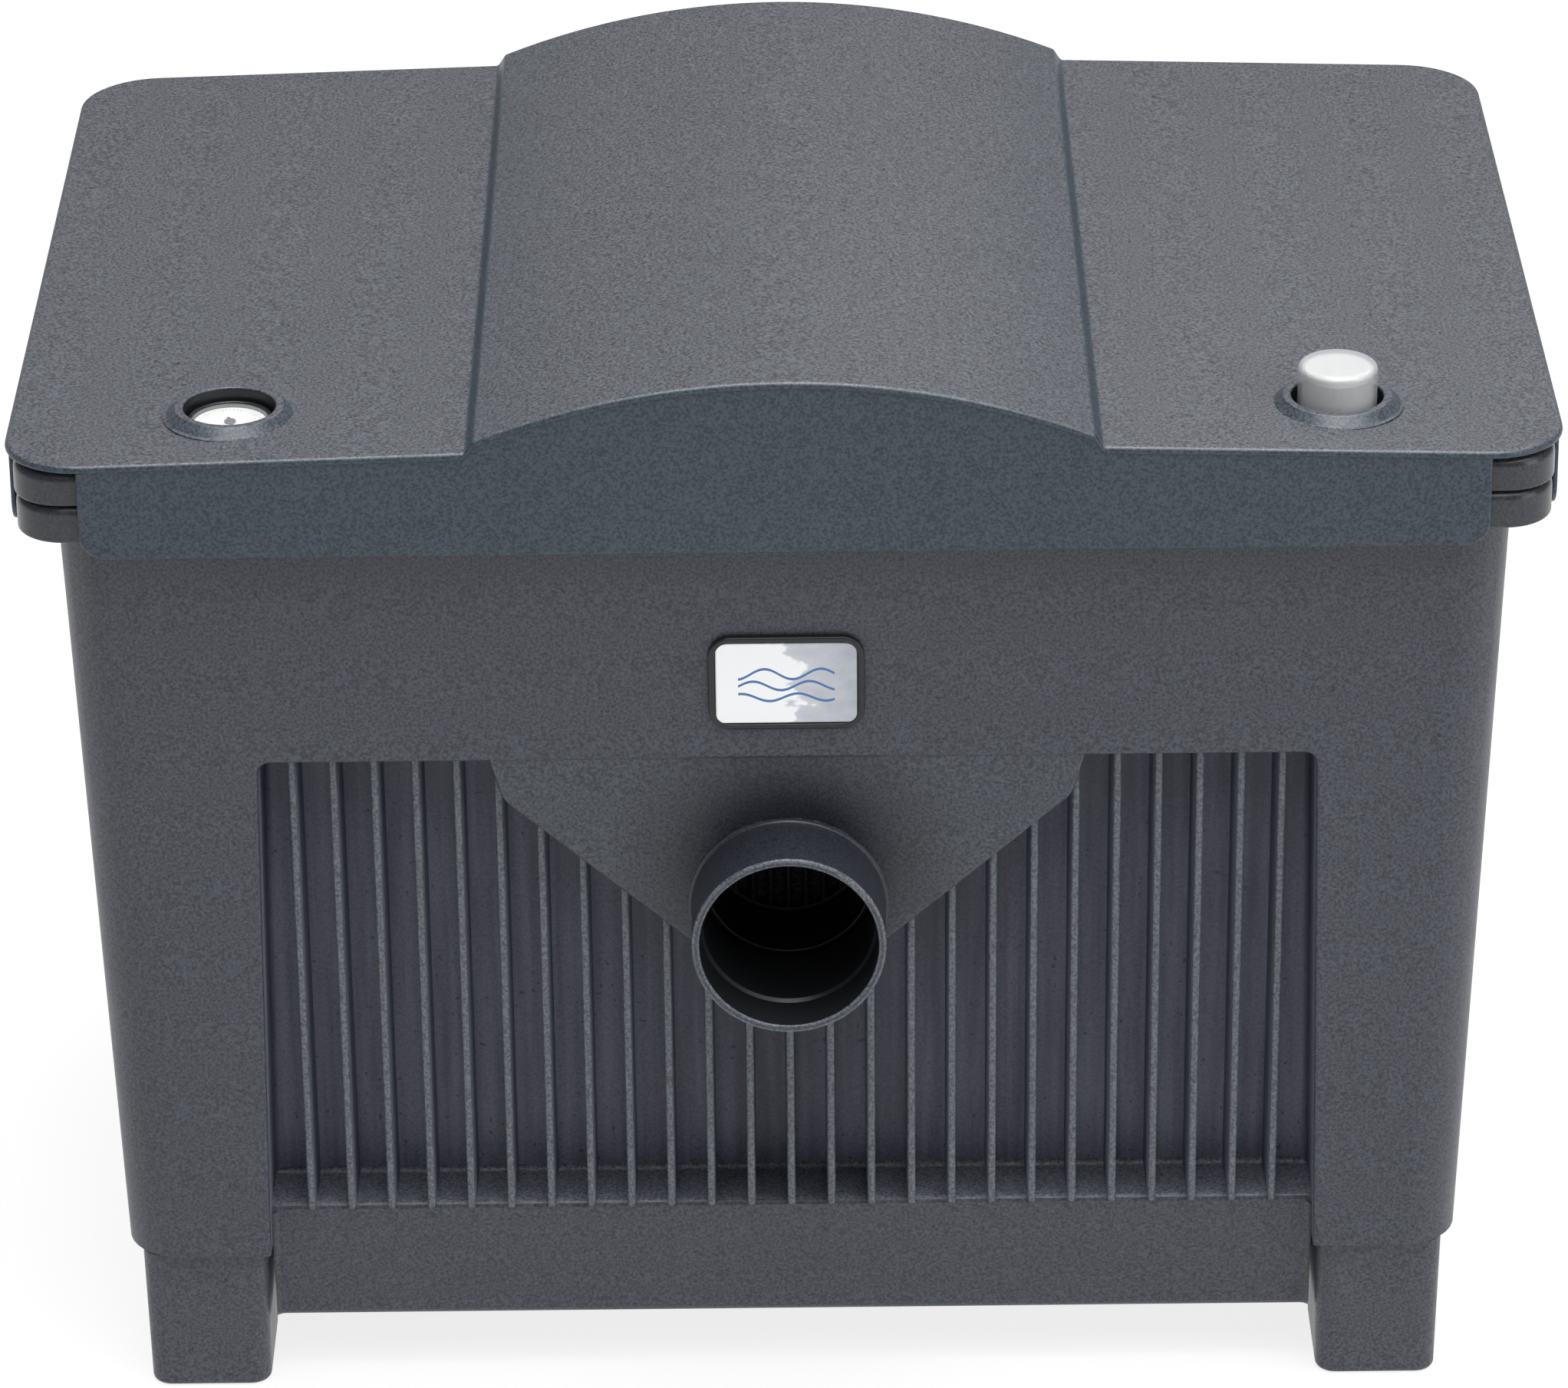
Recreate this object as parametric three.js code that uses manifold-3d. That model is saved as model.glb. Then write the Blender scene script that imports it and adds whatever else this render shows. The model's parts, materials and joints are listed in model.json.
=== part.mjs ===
// Box-type pond filter: a tapered ribbed tub on four push-in feet, a perforated tray with a
// dial thermometer and a level indicator, and a lift-off lid with a central barrel arch.
// Millimetres, +Z up, the front (outlet side) faces -Y.

import * as THREE from 'three';
import { mergeVertices } from 'three/addons/utils/BufferGeometryUtils.js';
import Module from 'manifold-3d';

const wasm = await Module();
wasm.setup();

// ---------------------------------------------------------------- driving dimensions

const GAP = 0.3;             // clearance between two pieces that touch
const WALL = 4;              // moulded wall of the tub
const DRAFT = 0.0348;        // side walls lean in by 2 degrees towards the ground
const CORNER_STEPS = 4;      // straight pieces in a quarter round
const FAR = 400;             // reach of a cutting tool beyond the object
const PAD_MARGIN = 1.5;      // how far a fitting's pad stands out round its seat

const lid = {
  halfX: 295, halfY: 204, corner: 31, edgeZ: 421.5, skin: 3, slope: 0.027,
  apronZ: 383.5, apronHalfX: 266, apronHalfY: 171, apronCorner: 10,
  ribY: 80, ribDrop: 14, ribHalfX: 262, ribThick: 2.5,
};
const arch = { halfX: 117, footX: 120.5, topZ: 453.8, radius: 311, steps: 16 };
const well = { x: 210.5, y: -159.5, hole: 17.5, flat: 20.3, foot: 24.6, topZ: 427.6 };
const skirt = { inset: 16.2, corner: 23, bottomZ: 25, topZ: 404.2 };
const bead = { halfX: 291, halfY: 200, corner: 19, bottomZ: 389, skin: 2.6, round: 3.2 };
const tray = { halfX: 291.5, halfY: 200.5, rimZ: 404.5, topZ: 418.2, floorZ: 372, skin: 2.6, inset: 6.5 };
const traySlot = { halfX: 40, halfY: 3, stepX: 98, stepY: 34, columns: 5, rows: 9 };
const recess = { depth: 39, topZ: 287, ledgeZ: 80, halfX: 204.3, sideHalfY: 105, flare: 0.0185, corner: 5 };
const panel = { depth: 12, lean: 0.1, halfX: 208.3, halfY: 109 };
const rib = { pitch: 16, thick: 3, setback: 8.8, endZ: 79, halfCount: 12, sideHalfCount: 6 };
const boss = { halfX: 116, cornerX: 110.5, cornerZ: 269.5, round: 9, topZ: 289 };
const outlet = { z: 221.6, radius: 37.7, bore: 34.7, endY: -214.7, innerY: -134, steps: 40 };
const strainer = { inner: 32.4, frontY: -156, backY: -122, thick: 2.5, rim: 2, bars: 9, bar: 2.6, pitch: 7 };
const foot = { x: 235.4, y: 142.4, topZ: 62.7, halfX: 25.2, halfY: 28.9, taper: 1.2, wall: 3.5, round: 2.4 };
const footPlug = { bottomZ: 48, gap: 0.4 };
const parting = { x: 200, y: 101, floorZ: 29.5, rimZ: 293 };
const inlet = {
  z: 338, radius: 21, bore: 15, seat: 34, padY: 175, holeY: 150, fromY: 158, endY: 208, flange: 5,
  gasket: 2.7, nut: [168, 176], tailBore: 11.5, collar: 22.5, collarY: 213, tailEndY: 276,
};
const unionNut = {
  radius: 31, neck: 20.8, fromY: 199, shoulderY: 206, collarY: 214, endY: 219,
  grip: 33, gripHalf: 3, grips: 8,
};
const drain = {
  z: 53, radius: 17, bore: 14, seat: 24, padY: 145, holeY: 120, fromY: 142, endY: 196, flange: 4,
  gasket: 2.2, seal: 1.9, nutRadius: 21.5, nut: [147, 153.5],
};
const drainCapSize = { radius: 21.5, grip: 23.5, gripHalf: 2.5, grips: 6, fromY: 182, thick: 4, edge: 1.5 };
const badge = { z: 321, halfX: 30, halfZ: 20, corner: 3.4, rim: 2.5, depth: 2.4, plateDepth: 1.2 };
const grid = { halfX: 216, halfY: 121, topZ: 90, thick: 5, slot: 32, step: 42, columns: 10, bar: 9 };
const gridLeg = { radius: 9, x: 126, y: 36 };
const foam = { count: 5, width: 82, step: 86, halfY: 118, bottomZ: 90.4, topZ: 268, corner: 6 };
const dialUnit = {
  radius: 16.3, pocket: 14.7, topZ: 422.8, floorZ: 418.7, dialZ: 420.7, lensZ: 422.3, lensThick: 0.5,
  neck: 13.3, neckZ: 400, shoulderZ: 404, probe: 4.8, probeZ: 320,
};
const needle = {
  hub: 2.2, hubTopZ: 421.5, bladeTopZ: 421.4, tail: 3.5, tip: 11.5, halfWidth: 0.7, turnDeg: -75,
};
const sight = {
  radius: 15.2, wall: 1.5, topZ: 440.5, edge: 1.6, flagZ: 435, flagTopZ: 438.6, rod: 2,
  floatRadius: 15, floatZ: 306, floatHigh: 40, floatEdge: 4,
};

// the hose tail behind and the outlet in front set the middle of the whole depth
const depthMiddle = (inlet.tailEndY + outlet.endY) / 2;

// ---------------------------------------------------------------- materials

const plastic = (color, roughness = 0.6) =>
  new THREE.MeshStandardMaterial({ color, roughness, metalness: 0 });
const slate = () => plastic(0x4a4f56, 0.62);
const paleSlate = () => plastic(0x5d6167, 0.6);
const black = () => plastic(0x1c1d20, 0.5);
const rubber = () => plastic(0x161616, 0.85);
const white = () => plastic(0xecede8, 0.4);
const coarseFoamGrey = () => plastic(0x2f3134, 0.95);
const fineFoamBlue = () => plastic(0x2c5f9e, 0.95);
const orange = () => plastic(0xd9631e, 0.5);
const steel = () => new THREE.MeshStandardMaterial({ color: 0xb9bcbf, roughness: 0.3, metalness: 1 });
const clear = () =>
  new THREE.MeshStandardMaterial({ color: 0xdfe6e8, roughness: 0.1, transparent: true, opacity: 0.35 });

// ---------------------------------------------------------------- joining and cutting

function solid(geometry) {
  const plain = geometry.clone();
  plain.deleteAttribute('normal');
  plain.deleteAttribute('uv');
  const merged = mergeVertices(plain, 1e-3);
  return new wasm.Manifold(new wasm.Mesh({
    numProp: 3,
    vertProperties: Float32Array.from(merged.attributes.position.array),
    triVerts: Uint32Array.from(merged.index.array),
  }));
}

const join = (first, ...others) => others.reduce((sum, other) => sum.add(other), first);
const cut = (first, ...others) => others.reduce((rest, other) => rest.subtract(other), first);
const mirrorX = (body) => body.mirror([1, 0, 0]);
const mirrorY = (body) => body.mirror([0, 1, 0]);
const onAllCorners = (body) => [body, mirrorX(body), mirrorY(body), mirrorX(mirrorY(body))];
const quarterTurn = (body) => body.rotate([0, 0, 90]);

function geometryOf(body) {
  const mesh = body.getMesh();
  const geometry = new THREE.BufferGeometry();
  geometry.setAttribute('position', new THREE.BufferAttribute(mesh.vertProperties, 3));
  geometry.setIndex(new THREE.BufferAttribute(mesh.triVerts, 1));
  return geometry;
}

// ---------------------------------------------------------------- basic shapes

function roundedRect(halfX, halfY, radius) {
  const shape = new THREE.Shape();
  shape.absarc(halfX - radius, -halfY + radius, radius, -Math.PI / 2, 0);
  shape.absarc(halfX - radius, halfY - radius, radius, 0, Math.PI / 2);
  shape.absarc(-halfX + radius, halfY - radius, radius, Math.PI / 2, Math.PI);
  shape.absarc(-halfX + radius, -halfY + radius, radius, Math.PI, Math.PI * 1.5);
  return shape;
}

function box(x0, x1, y0, y1, z0, z1) {
  const geometry = new THREE.BoxGeometry(x1 - x0, y1 - y0, z1 - z0);
  return solid(geometry.translate((x0 + x1) / 2, (y0 + y1) / 2, (z0 + z1) / 2));
}

// a prism standing on z0, its outline seen from above
function upright(shape, z0, z1) {
  const options = { depth: z1 - z0, bevelEnabled: false, curveSegments: CORNER_STEPS };
  return new THREE.ExtrudeGeometry(shape, options).translate(0, 0, z0);
}

// a prism running from y0 back to y1, its outline seen from the front
function lengthwise(shape, y0, y1, curveSegments = CORNER_STEPS) {
  const options = { depth: y1 - y0, bevelEnabled: false, curveSegments };
  return solid(new THREE.ExtrudeGeometry(shape, options).rotateX(Math.PI / 2).translate(0, y1, 0));
}

// an upright block with its upper and lower edges rounded
function softBlock(halfX, halfY, corner, z0, z1, round, bevelSegments = 2, curveSegments = CORNER_STEPS) {
  const options = {
    depth: z1 - z0 - 2 * round, bevelEnabled: true, bevelThickness: round, bevelSize: round,
    bevelSegments, curveSegments,
  };
  const shape = roundedRect(halfX - round, halfY - round, corner - round);
  return new THREE.ExtrudeGeometry(shape, options).translate(0, 0, z0 + round);
}

// a closed outline of [radius, distance along Y] points turned about the Y axis
function turnedAlongY(points, steps = 20) {
  const outline = points.map(([radius, y]) => new THREE.Vector2(radius, y));
  if (points[0][0] > 0) {
    outline.push(outline[0].clone());
  }
  return new THREE.LatheGeometry(outline, steps);
}

const turned = (points, steps) => turnedAlongY(points, steps).rotateX(Math.PI / 2);
const ring = (inner, outer, from, to) => [[inner, from], [outer, from], [outer, to], [inner, to]];
const disc = (radius, from, to) => [[0, from], [radius, from], [radius, to], [0, to]];

const barZ = (radius, x, y, z0, z1, steps) =>
  solid(turned(disc(radius, z0, z1), steps)).translate([x, y, 0]);
const barY = (radius, z, y0, y1, steps) =>
  solid(turnedAlongY(disc(radius, y0, y1), steps)).translate([0, 0, z]);

// ---------------------------------------------------------------- tub

const skirtFaceY = (z) => lid.halfY - skirt.inset - (lid.edgeZ - z) * DRAFT;
const inletFaceY = skirtFaceY(inlet.z + inlet.seat) + 0.5;
const drainFaceY = skirtFaceY(drain.z + drain.seat) - panel.depth + 0.5;

// the tub's outer form between two heights, set in by offset; the draft moves its corners out
function skirtBlock(z0, z1, offset, corner = skirt.corner, lean = DRAFT) {
  const inset = skirt.inset + offset + (lid.edgeZ - z0) * DRAFT;
  const geometry = upright(roundedRect(lid.halfX - inset, lid.halfY - inset, corner), z0, z1);
  const position = geometry.attributes.position;
  for (let i = 0; i < position.count; i += 1) {
    const grow = (position.getZ(i) - z0) * lean;
    position.setX(i, position.getX(i) + Math.sign(position.getX(i)) * grow);
    position.setY(i, position.getY(i) + Math.sign(position.getY(i)) * grow);
  }
  return solid(geometry);
}

// the outline of the ribbed window, wider towards the ground, with rounded upper corners
function windowShape(halfWidth, z0, z1, grow) {
  const halfTop = halfWidth + (recess.topZ - z1) * recess.flare + grow;
  const halfLow = halfWidth + (recess.topZ - z0) * recess.flare + grow;
  const top = z1 + grow;
  const shape = new THREE.Shape();
  shape.moveTo(-halfLow, z0 - grow);
  shape.lineTo(halfLow, z0 - grow);
  shape.lineTo(halfTop, top - recess.corner);
  shape.quadraticCurveTo(halfTop, top, halfTop - recess.corner, top);
  shape.lineTo(recess.corner - halfTop, top);
  shape.quadraticCurveTo(-halfTop, top, -halfTop, top - recess.corner);
  return shape;
}

// what is taken out of the four sides; grown by the wall, it is what the water space leaves
function sidePockets(grow) {
  const lowZ = skirt.bottomZ - 10;
  const core = skirtBlock(lowZ - 9, recess.topZ + 9, recess.depth + grow, 8);
  const panelFoot = panel.depth + grow + (recess.ledgeZ - lowZ) * (panel.lean - DRAFT);
  const belly = skirtBlock(lowZ - 9, recess.ledgeZ + 25, panelFoot, 8, panel.lean);
  return [recess.halfX, recess.sideHalfY].flatMap((halfWidth, side) => {
    const place = side ? quarterTurn : (body) => body;
    const deep = lengthwise(windowShape(halfWidth, recess.ledgeZ, recess.topZ, grow), -FAR, 0, 3);
    const low = lengthwise(windowShape(halfWidth, lowZ, recess.ledgeZ + 6, grow), -FAR, 0, 3);
    const opposite = side ? mirrorX : mirrorY;
    const window = cut(place(deep), core);
    const shallow = cut(place(low), belly);
    return [window, shallow, opposite(window), opposite(shallow)];
  });
}

// room for the feet under the four corners
function footNotches(grow) {
  const notch = box(panel.halfX - grow, FAR, panel.halfY - grow, FAR, 0, foot.topZ + GAP + grow);
  return onAllCorners(notch);
}

function ribs() {
  const blades = [];
  for (let k = -rib.halfCount; k <= rib.halfCount; k += 1) {
    const x = k * rib.pitch;
    blades.push(box(x - rib.thick / 2, x + rib.thick / 2, -FAR, FAR, rib.endZ, recess.topZ + 2));
  }
  for (let k = -rib.sideHalfCount; k <= rib.sideHalfCount; k += 1) {
    const y = k * rib.pitch;
    blades.push(box(-FAR, FAR, y - rib.thick / 2, y + rib.thick / 2, rib.endZ, recess.topZ + 2));
  }
  const front = skirtBlock(rib.endZ - 5, recess.topZ + 5, rib.setback);
  const behind = skirtBlock(rib.endZ - 9, recess.topZ + 9, recess.depth + 2, 8);
  return cut(join(...blades).intersect(front), behind);
}

// the inverted triangle round the outlet: its slanting sides run into the spigot's circle
function bossShape(grow) {
  const radius = outlet.radius + grow;
  const cornerX = boss.cornerX + grow;
  const reachX = cornerX;
  const reachZ = boss.cornerZ - outlet.z;
  const touch = Math.atan2(reachZ, reachX) - Math.acos(radius / Math.hypot(reachX, reachZ));
  const slant = touch + Math.PI / 2;
  const before = [cornerX + boss.round * 0.2, boss.cornerZ + boss.round];
  const after = [cornerX - boss.round * Math.cos(slant), boss.cornerZ - boss.round * Math.sin(slant)];
  const shape = new THREE.Shape();
  shape.moveTo(boss.halfX + grow, boss.topZ);
  shape.lineTo(-boss.halfX - grow, boss.topZ);
  shape.lineTo(-before[0], before[1]);
  shape.quadraticCurveTo(-cornerX, boss.cornerZ, -after[0], after[1]);
  shape.absarc(0, outlet.z, radius, Math.PI - touch, 2 * Math.PI + touch);
  shape.lineTo(after[0], after[1]);
  shape.quadraticCurveTo(cornerX, boss.cornerZ, before[0], before[1]);
  return shape;
}

function outletBoss() {
  const body = lengthwise(bossShape(0), -FAR, -100, 12);
  return body.intersect(skirtBlock(outlet.z - 60, boss.topZ + 5, 0));
}

function outletBossHollow() {
  const body = lengthwise(bossShape(-WALL), -FAR, -100, 12);
  return body.intersect(skirtBlock(outlet.z - 60, boss.topZ + 5, WALL));
}

// the rolled rim: a rounded band standing off the wall, open underneath
function rolledRim(halfX, halfY, z0, z1) {
  const inner = upright(roundedRect(halfX - bead.skin, halfY - bead.skin, bead.corner - bead.skin),
    z0 - 5, z1 - bead.skin);
  return cut(solid(softBlock(halfX, halfY, bead.corner, z0, z1, bead.round)), solid(inner));
}

function footPlugs() {
  const half = { x: foot.halfX - foot.wall - footPlug.gap, y: foot.halfY - foot.wall - footPlug.gap };
  const plug = solid(upright(roundedRect(half.x, half.y, 4), footPlug.bottomZ, foot.topZ + WALL))
    .translate([foot.x, foot.y, 0]);
  return onAllCorners(plug);
}

function tubMoulding() {
  const shell = cut(skirtBlock(skirt.bottomZ, skirt.topZ, 0), ...sidePockets(0), ...footNotches(0));
  const rim = rolledRim(bead.halfX, bead.halfY, bead.bottomZ, skirt.topZ);
  const inletPad = barY(inlet.seat + PAD_MARGIN, inlet.z, inlet.padY, inletFaceY);
  const drainPad = barY(drain.seat + PAD_MARGIN, drain.z, drain.padY, drainFaceY);
  const outside = join(shell, rim, ribs(), outletBoss(), inletPad, drainPad, ...footPlugs());
  const water = cut(skirtBlock(skirt.bottomZ + WALL, skirt.topZ + 9, WALL, skirt.corner - WALL),
    ...sidePockets(WALL), ...footNotches(WALL));
  const inletHole = barY(inlet.radius + GAP, inlet.z, inlet.holeY, FAR);
  const drainHole = barY(drain.radius + GAP, drain.z, drain.holeY, FAR);
  const outletHole = barY(outlet.radius + GAP, outlet.z, -FAR, -100, outlet.steps);
  return cut(outside, water, outletBossHollow(), inletHole, drainHole, outletHole);
}

// the moulding parted along its edges into simple walls, so that each one stays thin and open between
function tubWalls() {
  const whole = tubMoulding();
  const between = (middle) => {
    const [near, far] = [middle - GAP / 2, middle + GAP / 2];
    return [[-FAR, -far], [-near, near], [far, FAR]];
  };
  const walls = {
    tub_floor: whole.intersect(box(-FAR, FAR, -FAR, FAR, 0, parting.floorZ)),
    tub_rim: whole.intersect(box(-FAR, FAR, -FAR, FAR, parting.rimZ, FAR * 2)),
  };
  const names = [
    ['tub_leg_front_left', 'tub_wall_left', 'tub_leg_back_left'],
    ['tub_wall_front', null, 'tub_wall_back'],
    ['tub_leg_front_right', 'tub_wall_right', 'tub_leg_back_right'],
  ];
  between(parting.x).forEach(([x0, x1], column) => {
    between(parting.y).forEach(([y0, y1], row) => {
      if (names[column][row]) {
        const cell = box(x0, x1, y0, y1, parting.floorZ + GAP, parting.rimZ - GAP);
        walls[names[column][row]] = whole.intersect(cell);
      }
    });
  });
  return walls;
}

// the outlet's pipe end, held in the boss
function outletSpigot() {
  return turnedAlongY(ring(outlet.bore, outlet.radius, outlet.endY, outlet.innerY), outlet.steps);
}

// one push-in foot: a tapered cup, open at the top, that takes the tub's plug
function pushInFoot() {
  const outer = softBlock(foot.halfX, foot.halfY, 8, 0, foot.topZ, foot.round, 1, 2);
  const position = outer.attributes.position;
  for (let i = 0; i < position.count; i += 1) {
    const squeeze = 1 - (foot.taper / foot.halfX) * (1 - position.getZ(i) / foot.topZ);
    position.setX(i, position.getX(i) * squeeze);
    position.setY(i, position.getY(i) * squeeze);
  }
  const hollow = roundedRect(foot.halfX - foot.wall, foot.halfY - foot.wall, 4.5);
  return cut(solid(outer), solid(upright(hollow, WALL, foot.topZ + 9)));
}

// ---------------------------------------------------------------- badge, on the band over the window

function badgeFrame() {
  const opening = roundedRect(badge.halfX - badge.rim, badge.halfZ - badge.rim, badge.corner - 1);
  const shape = roundedRect(badge.halfX, badge.halfZ, badge.corner);
  return cut(solid(upright(shape, 0, badge.depth)), solid(upright(opening, badge.plateDepth / 2, FAR)));
}

function badgePlate() {
  const inside = badge.rim + GAP;
  const shape = roundedRect(badge.halfX - inside, badge.halfZ - inside, badge.corner - 1);
  return upright(shape, 0, badge.plateDepth);
}

// ---------------------------------------------------------------- inside the tub

function baseGrid() {
  const { halfX, halfY, topZ, thick } = grid;
  const plate = solid(upright(roundedRect(halfX, halfY, 6), topZ - thick, topZ));
  const slots = [];
  const bay = (2 * halfY - 4 * grid.bar) / 3;
  for (let column = 0; column < grid.columns; column += 1) {
    const x = (column - (grid.columns - 1) / 2) * grid.step;
    for (let row = 0; row < 3; row += 1) {
      const y = -halfY + grid.bar + row * (bay + grid.bar);
      slots.push(box(x - grid.slot / 2, x + grid.slot / 2, y, y + bay, topZ - thick - 5, topZ + 5));
    }
  }
  return cut(plate, ...slots);
}

// a round leg that carries the grid over the sludge
const baseGridLeg = () => turned(disc(gridLeg.radius, parting.floorZ + GAP, grid.topZ - grid.thick - GAP));

const foamBlock = () =>
  softBlock(foam.width / 2, foam.halfY, foam.corner, foam.bottomZ, foam.topZ, foam.corner - 2, 1, 2);

// a flanged sleeve pushed into the outlet's inner end
function outletStrainer() {
  const outer = outlet.bore - GAP;
  const flangeY = outlet.innerY + GAP;
  return turnedAlongY([[strainer.inner, strainer.frontY], [outer, strainer.frontY], [outer, flangeY],
    [outlet.radius, flangeY], [outlet.radius, strainer.backY], [strainer.inner, strainer.backY]], 32);
}

// the barred disc pressed into the sleeve's inner end
function strainerGrille() {
  const radius = strainer.inner - GAP;
  const [y0, y1] = [strainer.backY - strainer.thick, strainer.backY];
  const rim = cut(barY(radius, 0, y0, y1, 32), barY(radius - strainer.rim, 0, y0 - 1, y1 + 1, 32));
  const half = Math.floor(strainer.bars / 2);
  const bars = Array.from({ length: strainer.bars }, (_, k) => {
    const x = (k - half) * strainer.pitch;
    return box(x - strainer.bar / 2, x + strainer.bar / 2, y0, y1, -radius, radius);
  });
  return join(rim, join(...bars).intersect(barY(radius - 0.5, 0, y0 - 1, y1 + 1, 32)));
}

// an eight-sided nut on a thread along Y
function locknut(threadRadius, outerRadius, y0, y1) {
  const body = solid(turnedAlongY(disc(outerRadius, y0, y1), 8));
  return cut(body, solid(turnedAlongY(disc(threadRadius + GAP, y0 - 1, y1 + 1))));
}

// ---------------------------------------------------------------- inlet at the back

const inletSeatY = inletFaceY + GAP + inlet.gasket + GAP;

const inletGasket = () =>
  turnedAlongY(ring(inlet.radius + 0.5, inlet.seat - 1, inletFaceY + GAP, inletSeatY - GAP));

// a threaded stub through the wall, with its flange on a seat outside
function threadedStub(bore, size, seatY) {
  const { radius, seat, fromY, endY, flange } = size;
  return turnedAlongY([[bore, fromY], [radius, fromY], [radius, seatY], [seat, seatY],
    [seat, seatY + flange], [radius, seatY + flange], [radius, endY], [bore, endY]]);
}

const inletStub = () => threadedStub(inlet.bore + 3, inlet, inletSeatY);
const inletLocknut = () => locknut(inlet.radius, inlet.seat - 2, ...inlet.nut);

// the stepped hose tail, its collar held against the stub by the union nut
function inletTail() {
  const { tailBore, collar, collarY, tailEndY, endY } = inlet;
  const barbs = [[20.5, 230], [19, 236], [19, 238], [16.5, 252], [16.5, 254], [13.8, 268]];
  return turnedAlongY([[tailBore, endY + GAP], [collar, endY + GAP], [collar, collarY],
    [19, collarY + 0.5], ...barbs, [13.2, tailEndY], [tailBore, tailEndY]]);
}

// round grips on a collar, as blocks standing out from radius to reach
function gripBlocks(count, radius, reach, half, y0, y1) {
  return Array.from({ length: count }, (_, k) =>
    box(radius, reach, y0, y1, -half, half).rotate([0, (k * 360) / count, 0]));
}

function unionNutBody() {
  const { radius, grip, gripHalf, grips, fromY, shoulderY, collarY, endY, neck } = unionNut;
  const thread = inlet.radius + GAP;
  const collar = inlet.collar + GAP;
  const body = solid(turnedAlongY([[thread, fromY], [radius, fromY], [radius, endY], [neck, endY],
    [neck, collarY], [collar, collarY], [collar, shoulderY], [thread, shoulderY]]));
  const blocks = gripBlocks(grips, radius - 2, grip, gripHalf, fromY + 1.5, endY - 1.5);
  return join(body, ...blocks).translate([0, 0, inlet.z]);
}

// ---------------------------------------------------------------- sludge drain at the back, low down

const drainSeatY = drainFaceY + GAP + drain.gasket + GAP;

const drainGasket = () =>
  turnedAlongY(ring(drain.radius + 0.5, drain.seat - 1, drainFaceY + GAP, drainSeatY - GAP));

const drainSpigot = () => threadedStub(drain.bore, drain, drainSeatY);
const drainLocknut = () => locknut(drain.radius, drain.nutRadius, ...drain.nut);

const drainSeal = () =>
  turnedAlongY(ring(drain.bore, drain.radius, drain.endY + GAP, drain.endY + GAP + drain.seal));

function drainCap() {
  const { radius, grip, gripHalf, grips, fromY, thick, edge } = drainCapSize;
  const thread = drain.radius + GAP;
  const insideY = drain.endY + drain.seal + 2 * GAP;
  const endY = insideY + thick;
  const cup = solid(turnedAlongY([[thread, fromY], [radius, fromY], [radius, endY - edge],
    [radius - edge, endY], [0, endY], [0, insideY], [thread, insideY]]));
  const blocks = gripBlocks(grips, radius - edge, grip, gripHalf, fromY + 1.5, endY - 2);
  return join(cup, ...blocks).translate([0, 0, drain.z]);
}

// ---------------------------------------------------------------- tray and its instruments

function trayBody() {
  const rim = rolledRim(tray.halfX, tray.halfY, tray.rimZ, tray.topZ);
  const dish = skirtBlock(tray.floorZ, tray.topZ, tray.inset);
  const inside = skirtBlock(tray.floorZ + tray.skin, tray.topZ + 9, tray.inset + tray.skin, 20);
  const slots = [];
  for (let column = 0; column < traySlot.columns; column += 1) {
    for (let row = 0; row < traySlot.rows; row += 1) {
      const x = (column - (traySlot.columns - 1) / 2) * traySlot.stepX;
      const y = (row - (traySlot.rows - 1) / 2) * traySlot.stepY;
      const nearInstrument = Math.abs(Math.abs(x) - well.x) < 70 && y < well.y + 45;
      if (!nearInstrument) {
        slots.push(box(x - traySlot.halfX, x + traySlot.halfX, y - traySlot.halfY, y + traySlot.halfY,
          tray.floorZ - 5, tray.floorZ + 9));
      }
    }
  }
  const probeHole = barZ(dialUnit.probe + GAP, -well.x, well.y, tray.floorZ - 5, tray.floorZ + 9, 20);
  const rodHole = barZ(sight.rod + 0.6, well.x, well.y, tray.floorZ - 5, tray.floorZ + 9, 16);
  return cut(join(rim, dish), inside, ...slots, probeHole, rodHole);
}

const trayTopZ = tray.floorZ + tray.skin + GAP;

function thermometerHousing() {
  const { radius, pocket, topZ, floorZ, neck, neckZ, shoulderZ } = dialUnit;
  const bore = dialUnit.probe + GAP;
  return turned([[bore, trayTopZ], [neck, trayTopZ], [neck, neckZ], [radius, shoulderZ], [radius, topZ],
    [pocket, topZ], [pocket, floorZ], [bore, floorZ]]);
}

const dialRadius = dialUnit.pocket - GAP;
const thermometerDial = () => turned(disc(dialRadius, dialUnit.floorZ + GAP, dialUnit.dialZ));
const thermometerLens = () => turned(disc(dialRadius, dialUnit.lensZ - dialUnit.lensThick, dialUnit.lensZ));
const thermometerProbe = () => turned(disc(dialUnit.probe, dialUnit.probeZ, dialUnit.floorZ), 20);

// the needle points to the front, a little to the right
function thermometerNeedle() {
  const lowZ = dialUnit.dialZ + GAP;
  const hub = solid(turned(disc(needle.hub, lowZ, needle.hubTopZ), 16));
  const blade = box(-needle.tail, needle.tip, -needle.halfWidth, needle.halfWidth, lowZ, needle.bladeTopZ);
  return join(hub, blade).rotate([0, 0, needle.turnDeg]);
}

function sightCap() {
  const { radius, wall, topZ, edge } = sight;
  return turned([[radius - wall, trayTopZ], [radius, trayTopZ], [radius, topZ - edge], [radius - edge, topZ],
    [0, topZ], [0, topZ - wall], [radius - wall, topZ - wall]]);
}

function indicatorFlag() {
  const flagRadius = sight.radius - sight.wall - 1;
  return turned([[0, sight.flagZ], [flagRadius, sight.flagZ], [flagRadius, sight.flagTopZ - 0.6],
    [flagRadius - 0.7, sight.flagTopZ], [0, sight.flagTopZ]]);
}

const floatTopZ = sight.floatZ + sight.floatHigh;
const indicatorRod = () => turned(disc(sight.rod, floatTopZ + 2 * GAP, sight.flagZ - GAP), 16);

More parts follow.
